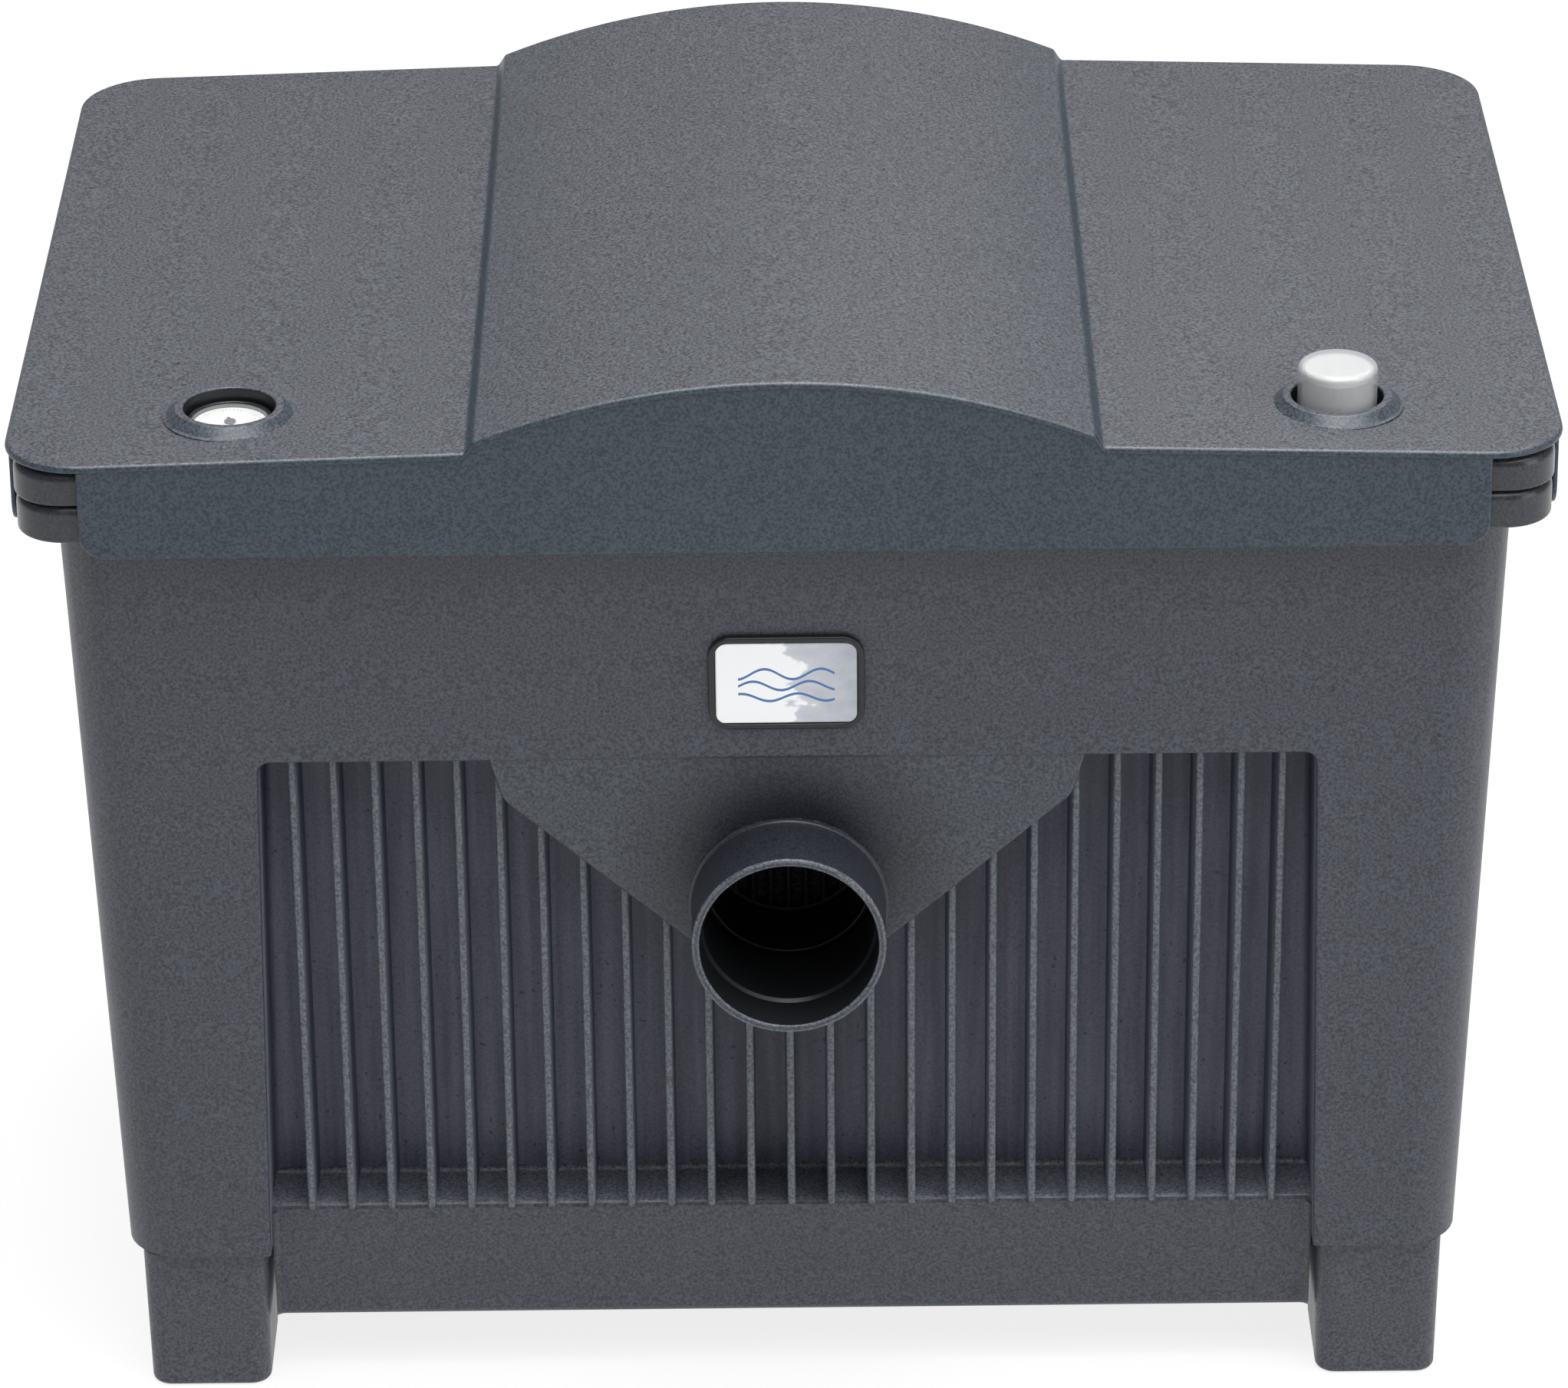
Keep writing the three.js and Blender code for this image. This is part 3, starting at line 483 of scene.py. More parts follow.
def spigot_form():
    """The outlet tube, flared into the boss and rounded at its lip."""
    rings = []

    def ring(radius, height, follow):
        points = []
        for k in range(96):
            a = 2 * math.pi * k / 96
            x, z = radius * math.cos(a), OUTLET_Z + radius * math.sin(a)
            y = -face_y(z) - height if follow else height
            points.append((x, y, z))
        rings.append(points)

    ring(OUTLET_RADIUS, OUTLET_INNER_Y, False)
    ring(OUTLET_RADIUS, -20, True)
    ring(OUTLET_RADIUS + 1.5, -2, True)
    for inset, rise in quarter(1.5):
        ring(OUTLET_RADIUS + inset, rise, True)
    for inset, rise in reversed(quarter(1.1)):
        ring(OUTLET_RADIUS - inset, OUTLET_END_Y + rise, False)
    return Form().loft(rings)


def bore_form():
    """The bore, rounded at its mouth, with a narrower stretch in front of the strainer's sleeve."""
    mouth = [(OUTLET_BORE + inset, OUTLET_END_Y + rise) for inset, rise in quarter(0.8)]
    narrow = [(OUTLET_BORE - 0.2, -196), (OUTLET_BORE - 1.3, -194.6), (OUTLET_BORE - 1.5, -178)]
    wider_y = STRAINER_FRONT_Y - 3
    sleeve = [(OUTLET_BORE - 1.5, wider_y - 1), (OUTLET_BORE, wider_y), (OUTLET_BORE, -100)]
    profile = [(OUTLET_BORE + 0.8, OUTLET_END_Y - 5), *mouth, *narrow, *sleeve]
    return Form().turned(profile, (0, 0, OUTLET_Z), "y", 96)


def tub_piece():
    tub = made(skirt_form(SKIRT_BOTTOM_Z, SKIRT_TOP_Z - 1, 0, SKIRT_CORNER, 4))
    cut(tub, *[deep_window(side) for side in SIDES], *[low_pocket(side) for side in SIDES], foot_notches(0))
    rim = rolled_rim(BEAD_HALF_X, BEAD_HALF_Y, BEAD_CORNER, BEAD_BOTTOM_Z, SKIRT_TOP_Z, 17)
    inlet_pad = bar_y(INLET_SEAT + 1.5, INLET_Z, 175, face_y(INLET_Z + INLET_SEAT) + 0.5)
    drain_pad = bar_y(DRAIN_SEAT + 1.5, DRAIN_Z, 145, face_y(DRAIN_Z + DRAIN_SEAT) - PANEL_DEPTH + 0.5)
    joined(tub, rim, ribs(), boss_form(), inlet_pad, drain_pad, foot_plugs())
    water = made(skirt_form(SKIRT_BOTTOM_Z + WALL, SKIRT_TOP_Z + 9, WALL, SKIRT_CORNER - WALL, 3))
    cut(water, *[deep_window(side, WALL) for side in SIDES], *[low_pocket(side, WALL) for side in SIDES],
        foot_notches(WALL))
    cut(tub, water, boss_form(-WALL), bar_y(INLET_RADIUS + 0.3, INLET_Z, 150, 400),
        bar_y(DRAIN_RADIUS + 0.3, DRAIN_Z, 120, 400))
    joined(tub, spigot_form())
    cut(tub, bore_form())
    return smoothed(tub)


def depth_behind(point):
    """How far a point lies in behind the nearest of the tub's four sides."""
    return min(face_x(point.z) - abs(point.x), face_y(point.z) - abs(point.y))


def in_window(point):
    return LEDGE_Z + 4 < point.z < WINDOW_TOP_Z


def on_ledge(point):
    """The ledge at the foot of the windows, behind its rounded lip."""
    return abs(point.z - LEDGE_Z) < 4 and PANEL_DEPTH + 2 < depth_behind(point) < WINDOW_DEPTH + 1


def on_boss(point):
    """The boss's front face, set back from the tub's own."""
    inside = abs(point.x) < BOSS_HALF_X + 1 and OUTLET_Z - OUTLET_RADIUS - 3 < point.z < WINDOW_TOP_Z - 0.5
    return inside and point.y < 0 and BOSS_SETBACK / 2 < face_y(point.z) + point.y < 2.5


def on_spigot(point):
    """The outlet tube's outside."""
    reach = math.hypot(point.x, point.z - OUTLET_Z)
    return abs(reach - OUTLET_RADIUS) < 1.2 and OUTLET_END_Y + 1 < point.y < 1 - face_y(point.z)


def on_spigot_lip(point):
    reach = math.hypot(point.x, point.z - OUTLET_Z)
    return OUTLET_BORE < reach < OUTLET_RADIUS and point.y < OUTLET_END_Y + 1


def in_outlet_bore(point):
    """The bore's wall; the tub's face and the boss's have their middles near it too."""
    reach = math.hypot(point.x, point.z - OUTLET_Z)
    on_face = abs(face_y(point.z) + point.y) < 1
    return reach < OUTLET_BORE + 0.4 and OUTLET_END_Y + 1 < point.y < STRAINER_BACK_Y and not on_face


def on_rib_front(point):
    return in_window(point) and RIB_SETBACK - 0.4 < depth_behind(point) < RIB_SETBACK + 1.3


def behind_rib_front(point):
    """The ribs' flanks and the wall they stand on, but not the inside of the tub."""
    return in_window(point) and RIB_SETBACK + 1.3 <= depth_behind(point) < WINDOW_DEPTH + 1


# ---------------------------------------------------------------- feet


def foot_piece(sx, sy):
    """A tapered cup, open at the top, with rounded edges."""

    def outline(z, inset):
        squeeze = FOOT_TAPER * (1 - z / FOOT_TOP_Z)
        corner = 8 - min(inset, 4)
        points = rounded_rect(FOOT_HALF_X - squeeze - inset, FOOT_HALF_Y - squeeze - inset, corner)
        return [(x + sx * FOOT_X, y + sy * FOOT_Y) for x, y in points]

    levels = [(outline(rise, inset), rise) for inset, rise in quarter(2.4)]
    levels += [(outline(FOOT_TOP_Z - rise, inset), FOOT_TOP_Z - rise) for inset, rise in reversed(quarter(1))]
    levels += [(outline(FOOT_TOP_Z - 0.4, FOOT_WALL), FOOT_TOP_Z - 0.4), (outline(6, FOOT_WALL), 6),
               (outline(4, FOOT_WALL + 2), 4)]
    return smoothed(made(Form().upright(levels)))


# ---------------------------------------------------------------- lid


def lid_height(x):
    """The lid's upper surface: flanks that rise inwards, a rounded step and the barrel arch."""
    x = abs(x)
    flank = LID_EDGE_Z + LID_SLOPE * (LID_HALF_X - x)
    crown = LID_TOP_Z - ARCH_RADIUS + math.sqrt(ARCH_RADIUS ** 2 - min(x, ARCH_FOOT_X) ** 2)
    share = min(1, max(0, (ARCH_FOOT_X - x) / (ARCH_FOOT_X - ARCH_HALF_X + 1)))
    share = share * share * (3 - 2 * share)
    return flank + (crown - flank) * share


def lid_columns(half_width):
    """Distances across the lid, closer together on the rounded step and along the arch."""
    step = [ARCH_FOOT_X + 0.5 - k * (ARCH_FOOT_X - ARCH_HALF_X + 2) / 12 for k in range(13)]
    crown = [step[-1] * (1 - k / 16) for k in range(1, 16)]
    right = [x for x in [*crown[::-1], *step[::-1], (half_width + ARCH_FOOT_X) / 2] if x < half_width]
    return [-half_width, *[-x for x in reversed(right)], 0, *right, half_width]


def lid_ring(inset, drop):
    """The lid's outline, set in and lowered, following the surface."""
    centre_x, centre_y = LID_HALF_X - LID_CORNER, LID_HALF_Y - LID_CORNER
    radius = LID_CORNER - inset
    corner = []
    for k in range(1, 13):
        a = math.pi / 2 * k / 12
        corner.append((centre_x + radius * math.sin(a), -centre_y - radius * math.cos(a)))
    straight = [(x, -centre_y - radius) for x in lid_columns(centre_x)]
    front = [(-x, y) for x, y in reversed(corner)] + straight + corner
    outline = front + [(x, -y) for x, y in reversed(front)]
    return [(x, y, lid_height(x) - drop) for x, y in outline]


def lid_slab():
    """The thin skin with its rounded edge; its two faces are strips from front to back."""
    levels = [(inset, LID_SKIN - rise) for inset, rise in quarter(1)]
    levels += [(inset, rise) for inset, rise in reversed(quarter(1.8, 5))]
    form = Form().loft([lid_ring(inset, drop) for inset, drop in levels])
    form.faces = form.faces[:-2]
    count = len(lid_ring(0, 0))
    for start in (0, (len(levels) - 1) * count):
        for k in range(count // 2 - 1):
            across = count - 1 - k
            form.faces.append((start + k, start + k + 1, start + across - 1, start + across))
    return form


def apron_outline(inset):
    """The front apron seen from the front: rounded lower corners, its top inside the skin."""
    half, low = APRON_HALF_X - inset, APRON_Z + inset
    corner = APRON_CORNER - inset
    top = [(x, lid_height(x) - 1.6, 0) for x in reversed(lid_columns(half))]
    return filleted([(-half, low, corner), (half, low, corner), *top], 6)


def apron_stations(outer):
    """(distance out, inset) through an apron's thickness, rounded at both faces."""
    inner = outer - (LID_SKIN - APRON_SETBACK)
    return ([(outer - rise, inset) for inset, rise in quarter(1)]
            + [(inner + rise, inset) for inset, rise in reversed(quarter(1))])


def apron_form(sign):
    stations = apron_stations(LID_HALF_Y - APRON_SETBACK)
    return Form().loft([[(x, sign * y, z) for x, z in apron_outline(inset)] for y, inset in stations])


def side_apron_form(sign):
    rings = []
    for x, inset in apron_stations(LID_HALF_X - APRON_SETBACK):
        half, low, corner = APRON_HALF_Y - inset, APRON_Z + inset, APRON_CORNER - inset
        top = LID_EDGE_Z - 1.6
        outline = filleted([(-half, low, corner), (half, low, corner), (half, top, 0), (-half, top, 0)], 6)
        rings.append([(sign * x, y, z) for y, z in outline])
    return Form().loft(rings)


def bezel_form(x):
    """The raised collar round a well: a sloping flank and a flat ring, both rounded."""
    flank_z = LID_EDGE_Z + LID_SLOPE * (LID_HALF_X - WELL_X)
    inner, outer, low_z = WELL_HOLE - 1, WELL_FOOT + 0.8, LID_EDGE_Z - 1.3
    profile = filleted([
        (inner, low_z, 0), (outer, low_z, 0), (outer, flank_z + 0.1, 0),
        (WELL_FOOT - 0.4, flank_z + 0.5, 0.8), (WELL_FLAT + 0.3, WELL_TOP_Z, 1.1), (inner, WELL_TOP_Z, 0),
    ], 5)
    return Form().turned(profile, (x, WELL_Y, 0), "z", 72, loop=True)


def well_hole(x):
    mouth = [(WELL_HOLE + inset, WELL_TOP_Z - rise) for inset, rise in reversed(quarter(0.9))]
    profile = [(WELL_HOLE, 400), *mouth, (WELL_HOLE + 0.9, WELL_TOP_Z + 5)]
    return Form().turned(profile, (x, WELL_Y, 0), "z", 72)


def stiffener(y):
    half, low = STIFFENER_HALF_X, STIFFENER_Z
    top = [(x, lid_height(x) - 1.2, 0) for x in reversed(lid_columns(half))]
    outline = filleted([(-half, low, 6), (half, low, 6), *top], 4)
    return Form().loft([[(x, y + side, z) for x, z in outline] for side in (-1.25, 1.25)])


def lid_piece():
    lid = made(lid_slab())
    joined(lid, apron_form(-1), apron_form(1), side_apron_form(-1), side_apron_form(1),
           bezel_form(-WELL_X), bezel_form(WELL_X), stiffener(-STIFFENER_Y), stiffener(STIFFENER_Y))
    cut(lid, well_hole(-WELL_X), well_hole(WELL_X))
    return smoothed(lid)


def in_well_hole(point):
    reach = math.hypot(abs(point.x) - WELL_X, point.y - WELL_Y)
    return reach < WELL_HOLE + 0.1 and point.z < WELL_TOP_Z - 0.5


# ---------------------------------------------------------------- tray


def tray_slots():
    """Rows of round-ended slots, left out under the instruments."""
    form = Form()
    for column in range(-2, 3):
        for row in range(-4, 5):
            x, y = column * SLOT_PITCH_X, row * SLOT_PITCH_Y
            if abs(abs(x) - WELL_X) < 70 and y < WELL_Y + 45:
                continue
            outline = [(x + u, y + v) for u, v in rounded_rect(SLOT_HALF_X, SLOT_HALF_Y, 2.9, 5)]
            form.upright([(outline, TRAY_FLOOR_Z - 5), (outline, TRAY_FLOOR_Z + 9)])
    return form


def tray_piece():
    tray = made(skirt_form(TRAY_FLOOR_Z, TRAY_TOP_Z - 1, TRAY_INSET, SKIRT_CORNER, 4))
    rim = rolled_rim(TRAY_HALF_X, TRAY_HALF_Y, BEAD_CORNER, TRAY_RIM_Z, TRAY_TOP_Z, 17.5)
    joined(tray, rim)
    inside = skirt_form(TRAY_FLOOR_Z + TRAY_SKIN, TRAY_TOP_Z + 9, TRAY_INSET + TRAY_SKIN, SKIRT_CORNER - 3, 3)
    probe_hole = bar_z(PROBE_RADIUS + GAP, -WELL_X, WELL_Y, TRAY_FLOOR_Z - 12, TRAY_FLOOR_Z + 13)
    rod_hole = bar_z(ROD_RADIUS + 2 * GAP, WELL_X, WELL_Y, TRAY_FLOOR_Z - 12, TRAY_FLOOR_Z + 13)
    cut(tray, inside, tray_slots(), probe_hole, rod_hole)
    return smoothed(tray)


# ---------------------------------------------------------------- badge


def on_badge(form):
    """Carries a form drawn flat, facing up, on to the tub's sloping front."""
    tilt = math.pi / 2 + math.atan(DRAFT)
    place = Matrix.Translation((0, -face_y(BADGE_Z) - 0.3, BADGE_Z)) @ Matrix.Rotation(tilt, 4, "X")
    return made(form.moved(place))


def badge_frame_piece():
    profile = filleted([
        (0, 0, 0.3), (0, 2.4, 1), (-BADGE_RIM, 2.4, 0.7), (-BADGE_RIM, 0.6, 0), (-8, 0.6, 0), (-8, 0, 0),
    ], 4)
    form = Form().swept(profile, BADGE_HALF_X, BADGE_HALF_Z, 8.5, 8)
    return smoothed(on_badge(form))


def badge_plate_piece():
    inset = BADGE_RIM + 0.3
    levels = [(rounded_rect(BADGE_HALF_X - inset, BADGE_HALF_Z - inset, 2.6), 0.9)]
    for inward, rise in reversed(quarter(0.7)):
        outline = rounded_rect(BADGE_HALF_X - inset - inward, BADGE_HALF_Z - inset - inward, 2.6 - inward)
        levels.append((outline, 2.1 - rise))
    return smoothed(on_badge(Form().upright(levels)))


# ---------------------------------------------------------------- inside the tub


def base_grid_piece():
    """The foams' support grid: a rounded plate with slots."""
    def outline(inset):
        return rounded_rect(GRID_HALF_X - inset, GRID_HALF_Y - inset, GRID_CORNER - inset)

    levels = [(outline(inset), GRID_TOP_Z - GRID_THICK + rise) for inset, rise in quarter(1.2)]
    levels += [(outline(inset), GRID_TOP_Z - rise) for inset, rise in reversed(quarter(1.2))]
    plate = made(Form().upright(levels))
    slots = Form()
    bay = (2 * GRID_HALF_Y - (GRID_ROWS + 1) * GRID_BAR) / GRID_ROWS
    for column in range(GRID_COLUMNS):
        for row in range(GRID_ROWS):
            x = (column - (GRID_COLUMNS - 1) / 2) * GRID_PITCH
            y = -GRID_HALF_Y + GRID_BAR + row * (bay + GRID_BAR) + bay / 2
            slot = [(x + u, y + v) for u, v in rounded_rect(GRID_SLOT / 2, bay / 2, 3, 4)]
            slots.upright([(slot, GRID_TOP_Z - 10), (slot, GRID_TOP_Z + 5)])
    return smoothed(cut(plate, slots))


def grid_leg_piece(sx, sy):
    """A round leg with a wider foot and a rounded shoulder."""
    low, top = LEG_LOW_Z, GRID_TOP_Z - GRID_THICK - GAP
    waist = LEG_RADIUS - 1.6
    profile = filleted([
        (0, low, 0), (LEG_RADIUS, low, 1.2), (LEG_RADIUS, low + 7, 1), (waist, low + 10, 3),
        (waist, top - 4, 2), (LEG_RADIUS, top, 0.6), (0, top, 0),
    ], 4, closed=False)[1:-1]
    return smoothed(made(Form().turned(profile, (sx * LEG_X, sy * LEG_Y, 0), "z", 40)))


def foam_piece(x, swell):
    """An open-cell foam block: slightly crowned faces, soft corners and an uneven cut surface."""
    shape = bmesh.new()
    bmesh.ops.create_cube(shape, size=2)
    cells = {0: 14, 1: 40, 2: 30}
    for axis, count in cells.items():
        for k in range(1, count):
            plane = Vector([2 * k / count - 1 if a == axis else 0 for a in range(3)])
            normal = Vector([1 if a == axis else 0 for a in range(3)])
            geometry = shape.verts[:] + shape.edges[:] + shape.faces[:]
            bmesh.ops.bisect_plane(shape, geom=geometry, plane_co=plane, plane_no=normal)
    half = Vector((FOAM_HALF_X - 1.6, FOAM_HALF_Y - 1.6, (FOAM_TOP_Z - FOAM_LOW_Z) / 2 - 1.4))
    middle_z = (FOAM_TOP_Z + FOAM_LOW_Z) / 2
    round_edge = 5
    for vert in shape.verts:
        unit = vert.co.copy()
        point = Vector([unit[a] * half[a] for a in range(3)])
        core = Vector([max(-half[a] + round_edge, min(half[a] - round_edge, point[a])) for a in range(3)])
        away = point - core
        if away.length > 1e-6:
            point = core + away.normalized() * min(round_edge, away.length)
        in_x, in_y, in_z = (1 - c ** 2 for c in unit)
        crown = in_x * in_y + in_y * in_z + in_x * in_z
        outward = Vector((unit.x ** 5, unit.y ** 5, unit.z ** 5))
        rough = noise.noise(point * 0.35 + Vector((x, 0, 0))) * 0.5
        point += outward * (0.8 * min(1, crown) * swell + rough)
        vert.co = Vector(at_rest((point.x + x, point.y, point.z + middle_z)))
    mesh = bpy.data.meshes.new("foam")
    shape.to_mesh(mesh)
    shape.free()
    mesh.shade_smooth()
    thing = bpy.data.objects.new("foam", mesh)
    bpy.context.scene.collection.objects.link(thing)
    return thing


def strainer_piece():
    """A flanged sleeve pushed into the outlet's inner end."""
    outer, seat = OUTLET_BORE - GAP, OUTLET_INNER_Y + GAP
    profile = filleted([
        (STRAINER_BORE, STRAINER_FRONT_Y, 0.6),
        (outer, STRAINER_FRONT_Y, 0.6),
        (outer, seat, 0),
        (OUTLET_RADIUS, seat, 0.8),
        (OUTLET_RADIUS, STRAINER_BACK_Y, 0.8),
        (STRAINER_BORE, STRAINER_BACK_Y, 0.4),
    ], 3)
    return smoothed(made(Form().turned(profile, (0, 0, OUTLET_Z), "y", 64, loop=True)))


def grille_piece():
    """The barred disc in the sleeve's inner end, with rounded bars."""
    radius, middle_y = STRAINER_BORE - GAP, STRAINER_BACK_Y - GRILLE_THICK / 2
    front_y = STRAINER_BACK_Y - GRILLE_THICK
    grille = made(ring_y(radius - GRILLE_RIM, radius, front_y, STRAINER_BACK_Y, OUTLET_Z))
    bars = Form()
    for k in range(-GRILLE_HALF_COUNT, GRILLE_HALF_COUNT + 1):
        x = k * GRILLE_PITCH
        half = math.sqrt((radius - 1) ** 2 - (abs(x) + GRILLE_BAR / 2) ** 2)
        section = rounded_rect(GRILLE_BAR / 2, GRILLE_THICK / 2 - 0.1, 0.8, 3)
        outline = [(x + u, middle_y + v) for u, v in section]
        bars.upright([(outline, OUTLET_Z - half), (outline, OUTLET_Z + half)])
    return smoothed(joined(grille, bars))


# ---------------------------------------------------------------- fittings


def turned_along_y(profile, z, sharp_deg=35):
    """A smooth hollow piece: a closed (radius, y) profile turned about a level axis at height z."""
    return smoothed(made(Form().turned(profile, (0, 0, z), "y", 72, loop=True)), sharp_deg)


def turned_in_well(profile, x, steps=72, loop=False):
    """A smooth upright piece in one of the lid's two wells, from a (radius, z) profile."""
    return smoothed(made(Form().turned(profile, (x, WELL_Y, 0), "z", steps, loop)))


def ring_y(inner, outer, from_y, to_y, z, soft=0.5, steps=64):
    """A ring along Y with its four edges rounded by soft."""
    corners = [(inner, from_y), (outer, from_y), (outer, to_y), (inner, to_y)]
    profile = filleted([(radius, y, soft) for radius, y in corners], 3)
    return Form().turned(profile, (0, 0, z), "y", steps, loop=True)


def thread_profile(radius, from_y, to_y, pitch=2.4, depth=0.8):
    """The crests and roots of a thread, as a row of rounded ridges."""
    points = []
    count = int((to_y - from_y) / pitch)
    for k in range(count):
        y = from_y + k * pitch
        points += [(radius - depth, y), (radius, y + pitch * 0.35), (radius, y + pitch * 0.55),
                   (radius - depth, y + pitch * 0.9)]
    return points


def flange(radius, outer, seat_y, thick):
    """The profile of a flange with its outer edges broken, from its seat to its far face."""
    edge = 0.8
    far_y = seat_y + thick
    return [(radius, seat_y), (outer - edge, seat_y), (outer, seat_y + edge),
            (outer, far_y - edge), (outer - edge, far_y), (radius, far_y)]


def locknut_piece(thread, outer, from_y, to_y, z):
    """An eight-sided nut with its corners turned down."""
    edge = 0.9
    profile = [(outer - edge, from_y), (outer, from_y + edge), (outer, to_y - edge), (outer - edge, to_y)]
    body = made(Form().turned(profile, (0, 0, z), "y", 8))
    cut(body, bar_y(thread + 0.3, z, from_y - 1, to_y + 1))
    return smoothed(body)


def gripped(profile, grips, count, z):
    """A turned collar with rounded grips round it."""
    collar = made(Form().turned(profile, (0, 0, z), "y", 72, loop=True))
    inner, outer, from_y, to_y, half = grips
    handles = Form()
    for k in range(count):
        tip = half * 0.75
        outline = filleted([(-half, inner, 0), (half, inner, 0), (tip, outer, 1.4), (-tip, outer, 1.4)], 4)
        turn = Matrix.Translation((0, 0, z)) @ Matrix.Rotation(2 * math.pi * k / count, 4, "Y")
        rings = []
        for y, inset in [(from_y, 0.8), (from_y + 0.8, 0), (to_y - 0.8, 0), (to_y, 0.8)]:
            scale = 1 - inset / outer
            rings.append([tuple(turn @ Vector((u * scale, y, w * scale))) for u, w in outline])
        handles.loft(rings)
    return smoothed(joined(collar, handles))


def inlet_pieces():
    face = face_y(INLET_Z + INLET_SEAT) + 0.5
    seat = face + 3.3
    gasket = made(ring_y(INLET_RADIUS + 0.5, INLET_SEAT - 1, face + 0.3, face + 3, INLET_Z))
    stub = [
        (INLET_BORE + 3, 158), *thread_profile(INLET_RADIUS, 158.5, 176), (INLET_RADIUS, 178),
        *flange(INLET_RADIUS, INLET_SEAT, seat, 5),
        *thread_profile(INLET_RADIUS, seat + 5.6, 207.4), (INLET_BORE + 3, 208),
    ]
    barbs = [
        (20.3, 214.6), (20.5, 230), (19.6, 235), (18.6, 236), (19, 238),
        (16.8, 251), (16, 252.4), (16.5, 254), (14, 267), (13.2, 269),
    ]
    collar, thread, shoulder = INLET_RADIUS + 1.5, INLET_RADIUS + GAP, INLET_RADIUS + 1.8
    tail = filleted([
        (TAIL_BORE, 208.3, 0.5), (collar, 208.3, 0.5), (collar, TAIL_COLLAR_Y, 0.6),
        (20, TAIL_COLLAR_Y + 0.4, 0.5),
        *[(r, y, 0.5) for r, y in barbs], (13.2, TAIL_END_Y, 0.8), (TAIL_BORE, TAIL_END_Y, 0.8),
    ], 3)
    nut = filleted([
        (thread, NUT_FROM_Y, 0.5), (NUT_RADIUS, NUT_FROM_Y, 1.2), (NUT_RADIUS, NUT_END_Y, 1.6),
        (NUT_NECK, NUT_END_Y, 0.5), (NUT_NECK, NUT_COLLAR_Y, 0), (shoulder, NUT_COLLAR_Y, 0),
        (shoulder, NUT_SHOULDER_Y, 0), (thread, NUT_SHOULDER_Y, 0),
    ], 4)
    grips = (NUT_RADIUS - 2, NUT_RADIUS + 2, NUT_FROM_Y + 1.5, NUT_END_Y - 1.5, 3.4)
    return {
        "inlet_gasket": smoothed(gasket),
        "inlet_stub": turned_along_y(stub, INLET_Z, 50),
        "inlet_locknut": locknut_piece(INLET_RADIUS, INLET_SEAT - 2, 168, 176, INLET_Z),
        "inlet_hose_tail": turned_along_y(tail, INLET_Z),
        "inlet_union_nut": gripped(nut, grips, 8, INLET_Z),
    }


def drain_pieces():
    face = face_y(DRAIN_Z + DRAIN_SEAT) - PANEL_DEPTH + 0.5
    seat = face + 2.8
    inside = DRAIN_END_Y + 2.5
    spigot = [
        (DRAIN_BORE, 142), *thread_profile(DRAIN_RADIUS, 142.5, 156), (DRAIN_RADIUS, 157),
        *flange(DRAIN_RADIUS, DRAIN_SEAT, seat, 4),
        *thread_profile(DRAIN_RADIUS, seat + 5, DRAIN_END_Y - 1),
        (DRAIN_RADIUS - 0.6, DRAIN_END_Y), (DRAIN_BORE, DRAIN_END_Y),
    ]
    thread = DRAIN_RADIUS + GAP
    cup = filleted([
        (thread, DRAIN_CAP_FROM_Y, 0.4), (DRAIN_CAP_RADIUS, DRAIN_CAP_FROM_Y, 0.8),
        (DRAIN_CAP_RADIUS, inside + 4, 1.8), (2, inside + 4, 0),
        (2, inside, 0), (thread, inside, 0),
    ], 4)
    grips = (DRAIN_CAP_RADIUS - 1.5, DRAIN_CAP_RADIUS + 2, DRAIN_CAP_FROM_Y + 1.5, inside + 2, 2.9)
    cap = gripped(cup, grips, 6, DRAIN_Z)
    button = Form().turned([(3, inside), (3, inside + 3.4), (2.4, inside + 4)], (0, 0, DRAIN_Z), "y", 32)
    joined(cap, button)
    gasket = ring_y(DRAIN_RADIUS + 0.5, DRAIN_SEAT - 1, face + 0.3, face + 2.5, DRAIN_Z)
    seal = ring_y(DRAIN_BORE, DRAIN_RADIUS, DRAIN_END_Y + 0.3, DRAIN_END_Y + 2.2, DRAIN_Z)
    return {
        "drain_gasket": smoothed(made(gasket)),
        "drain_spigot": turned_along_y(spigot, DRAIN_Z, 50),
        "drain_locknut": locknut_piece(DRAIN_RADIUS, 21.5, 147, 153.5, DRAIN_Z),
        "drain_cap_seal": smoothed(made(seal)),
        "drain_cap": cap,
    }


# ---------------------------------------------------------------- instruments


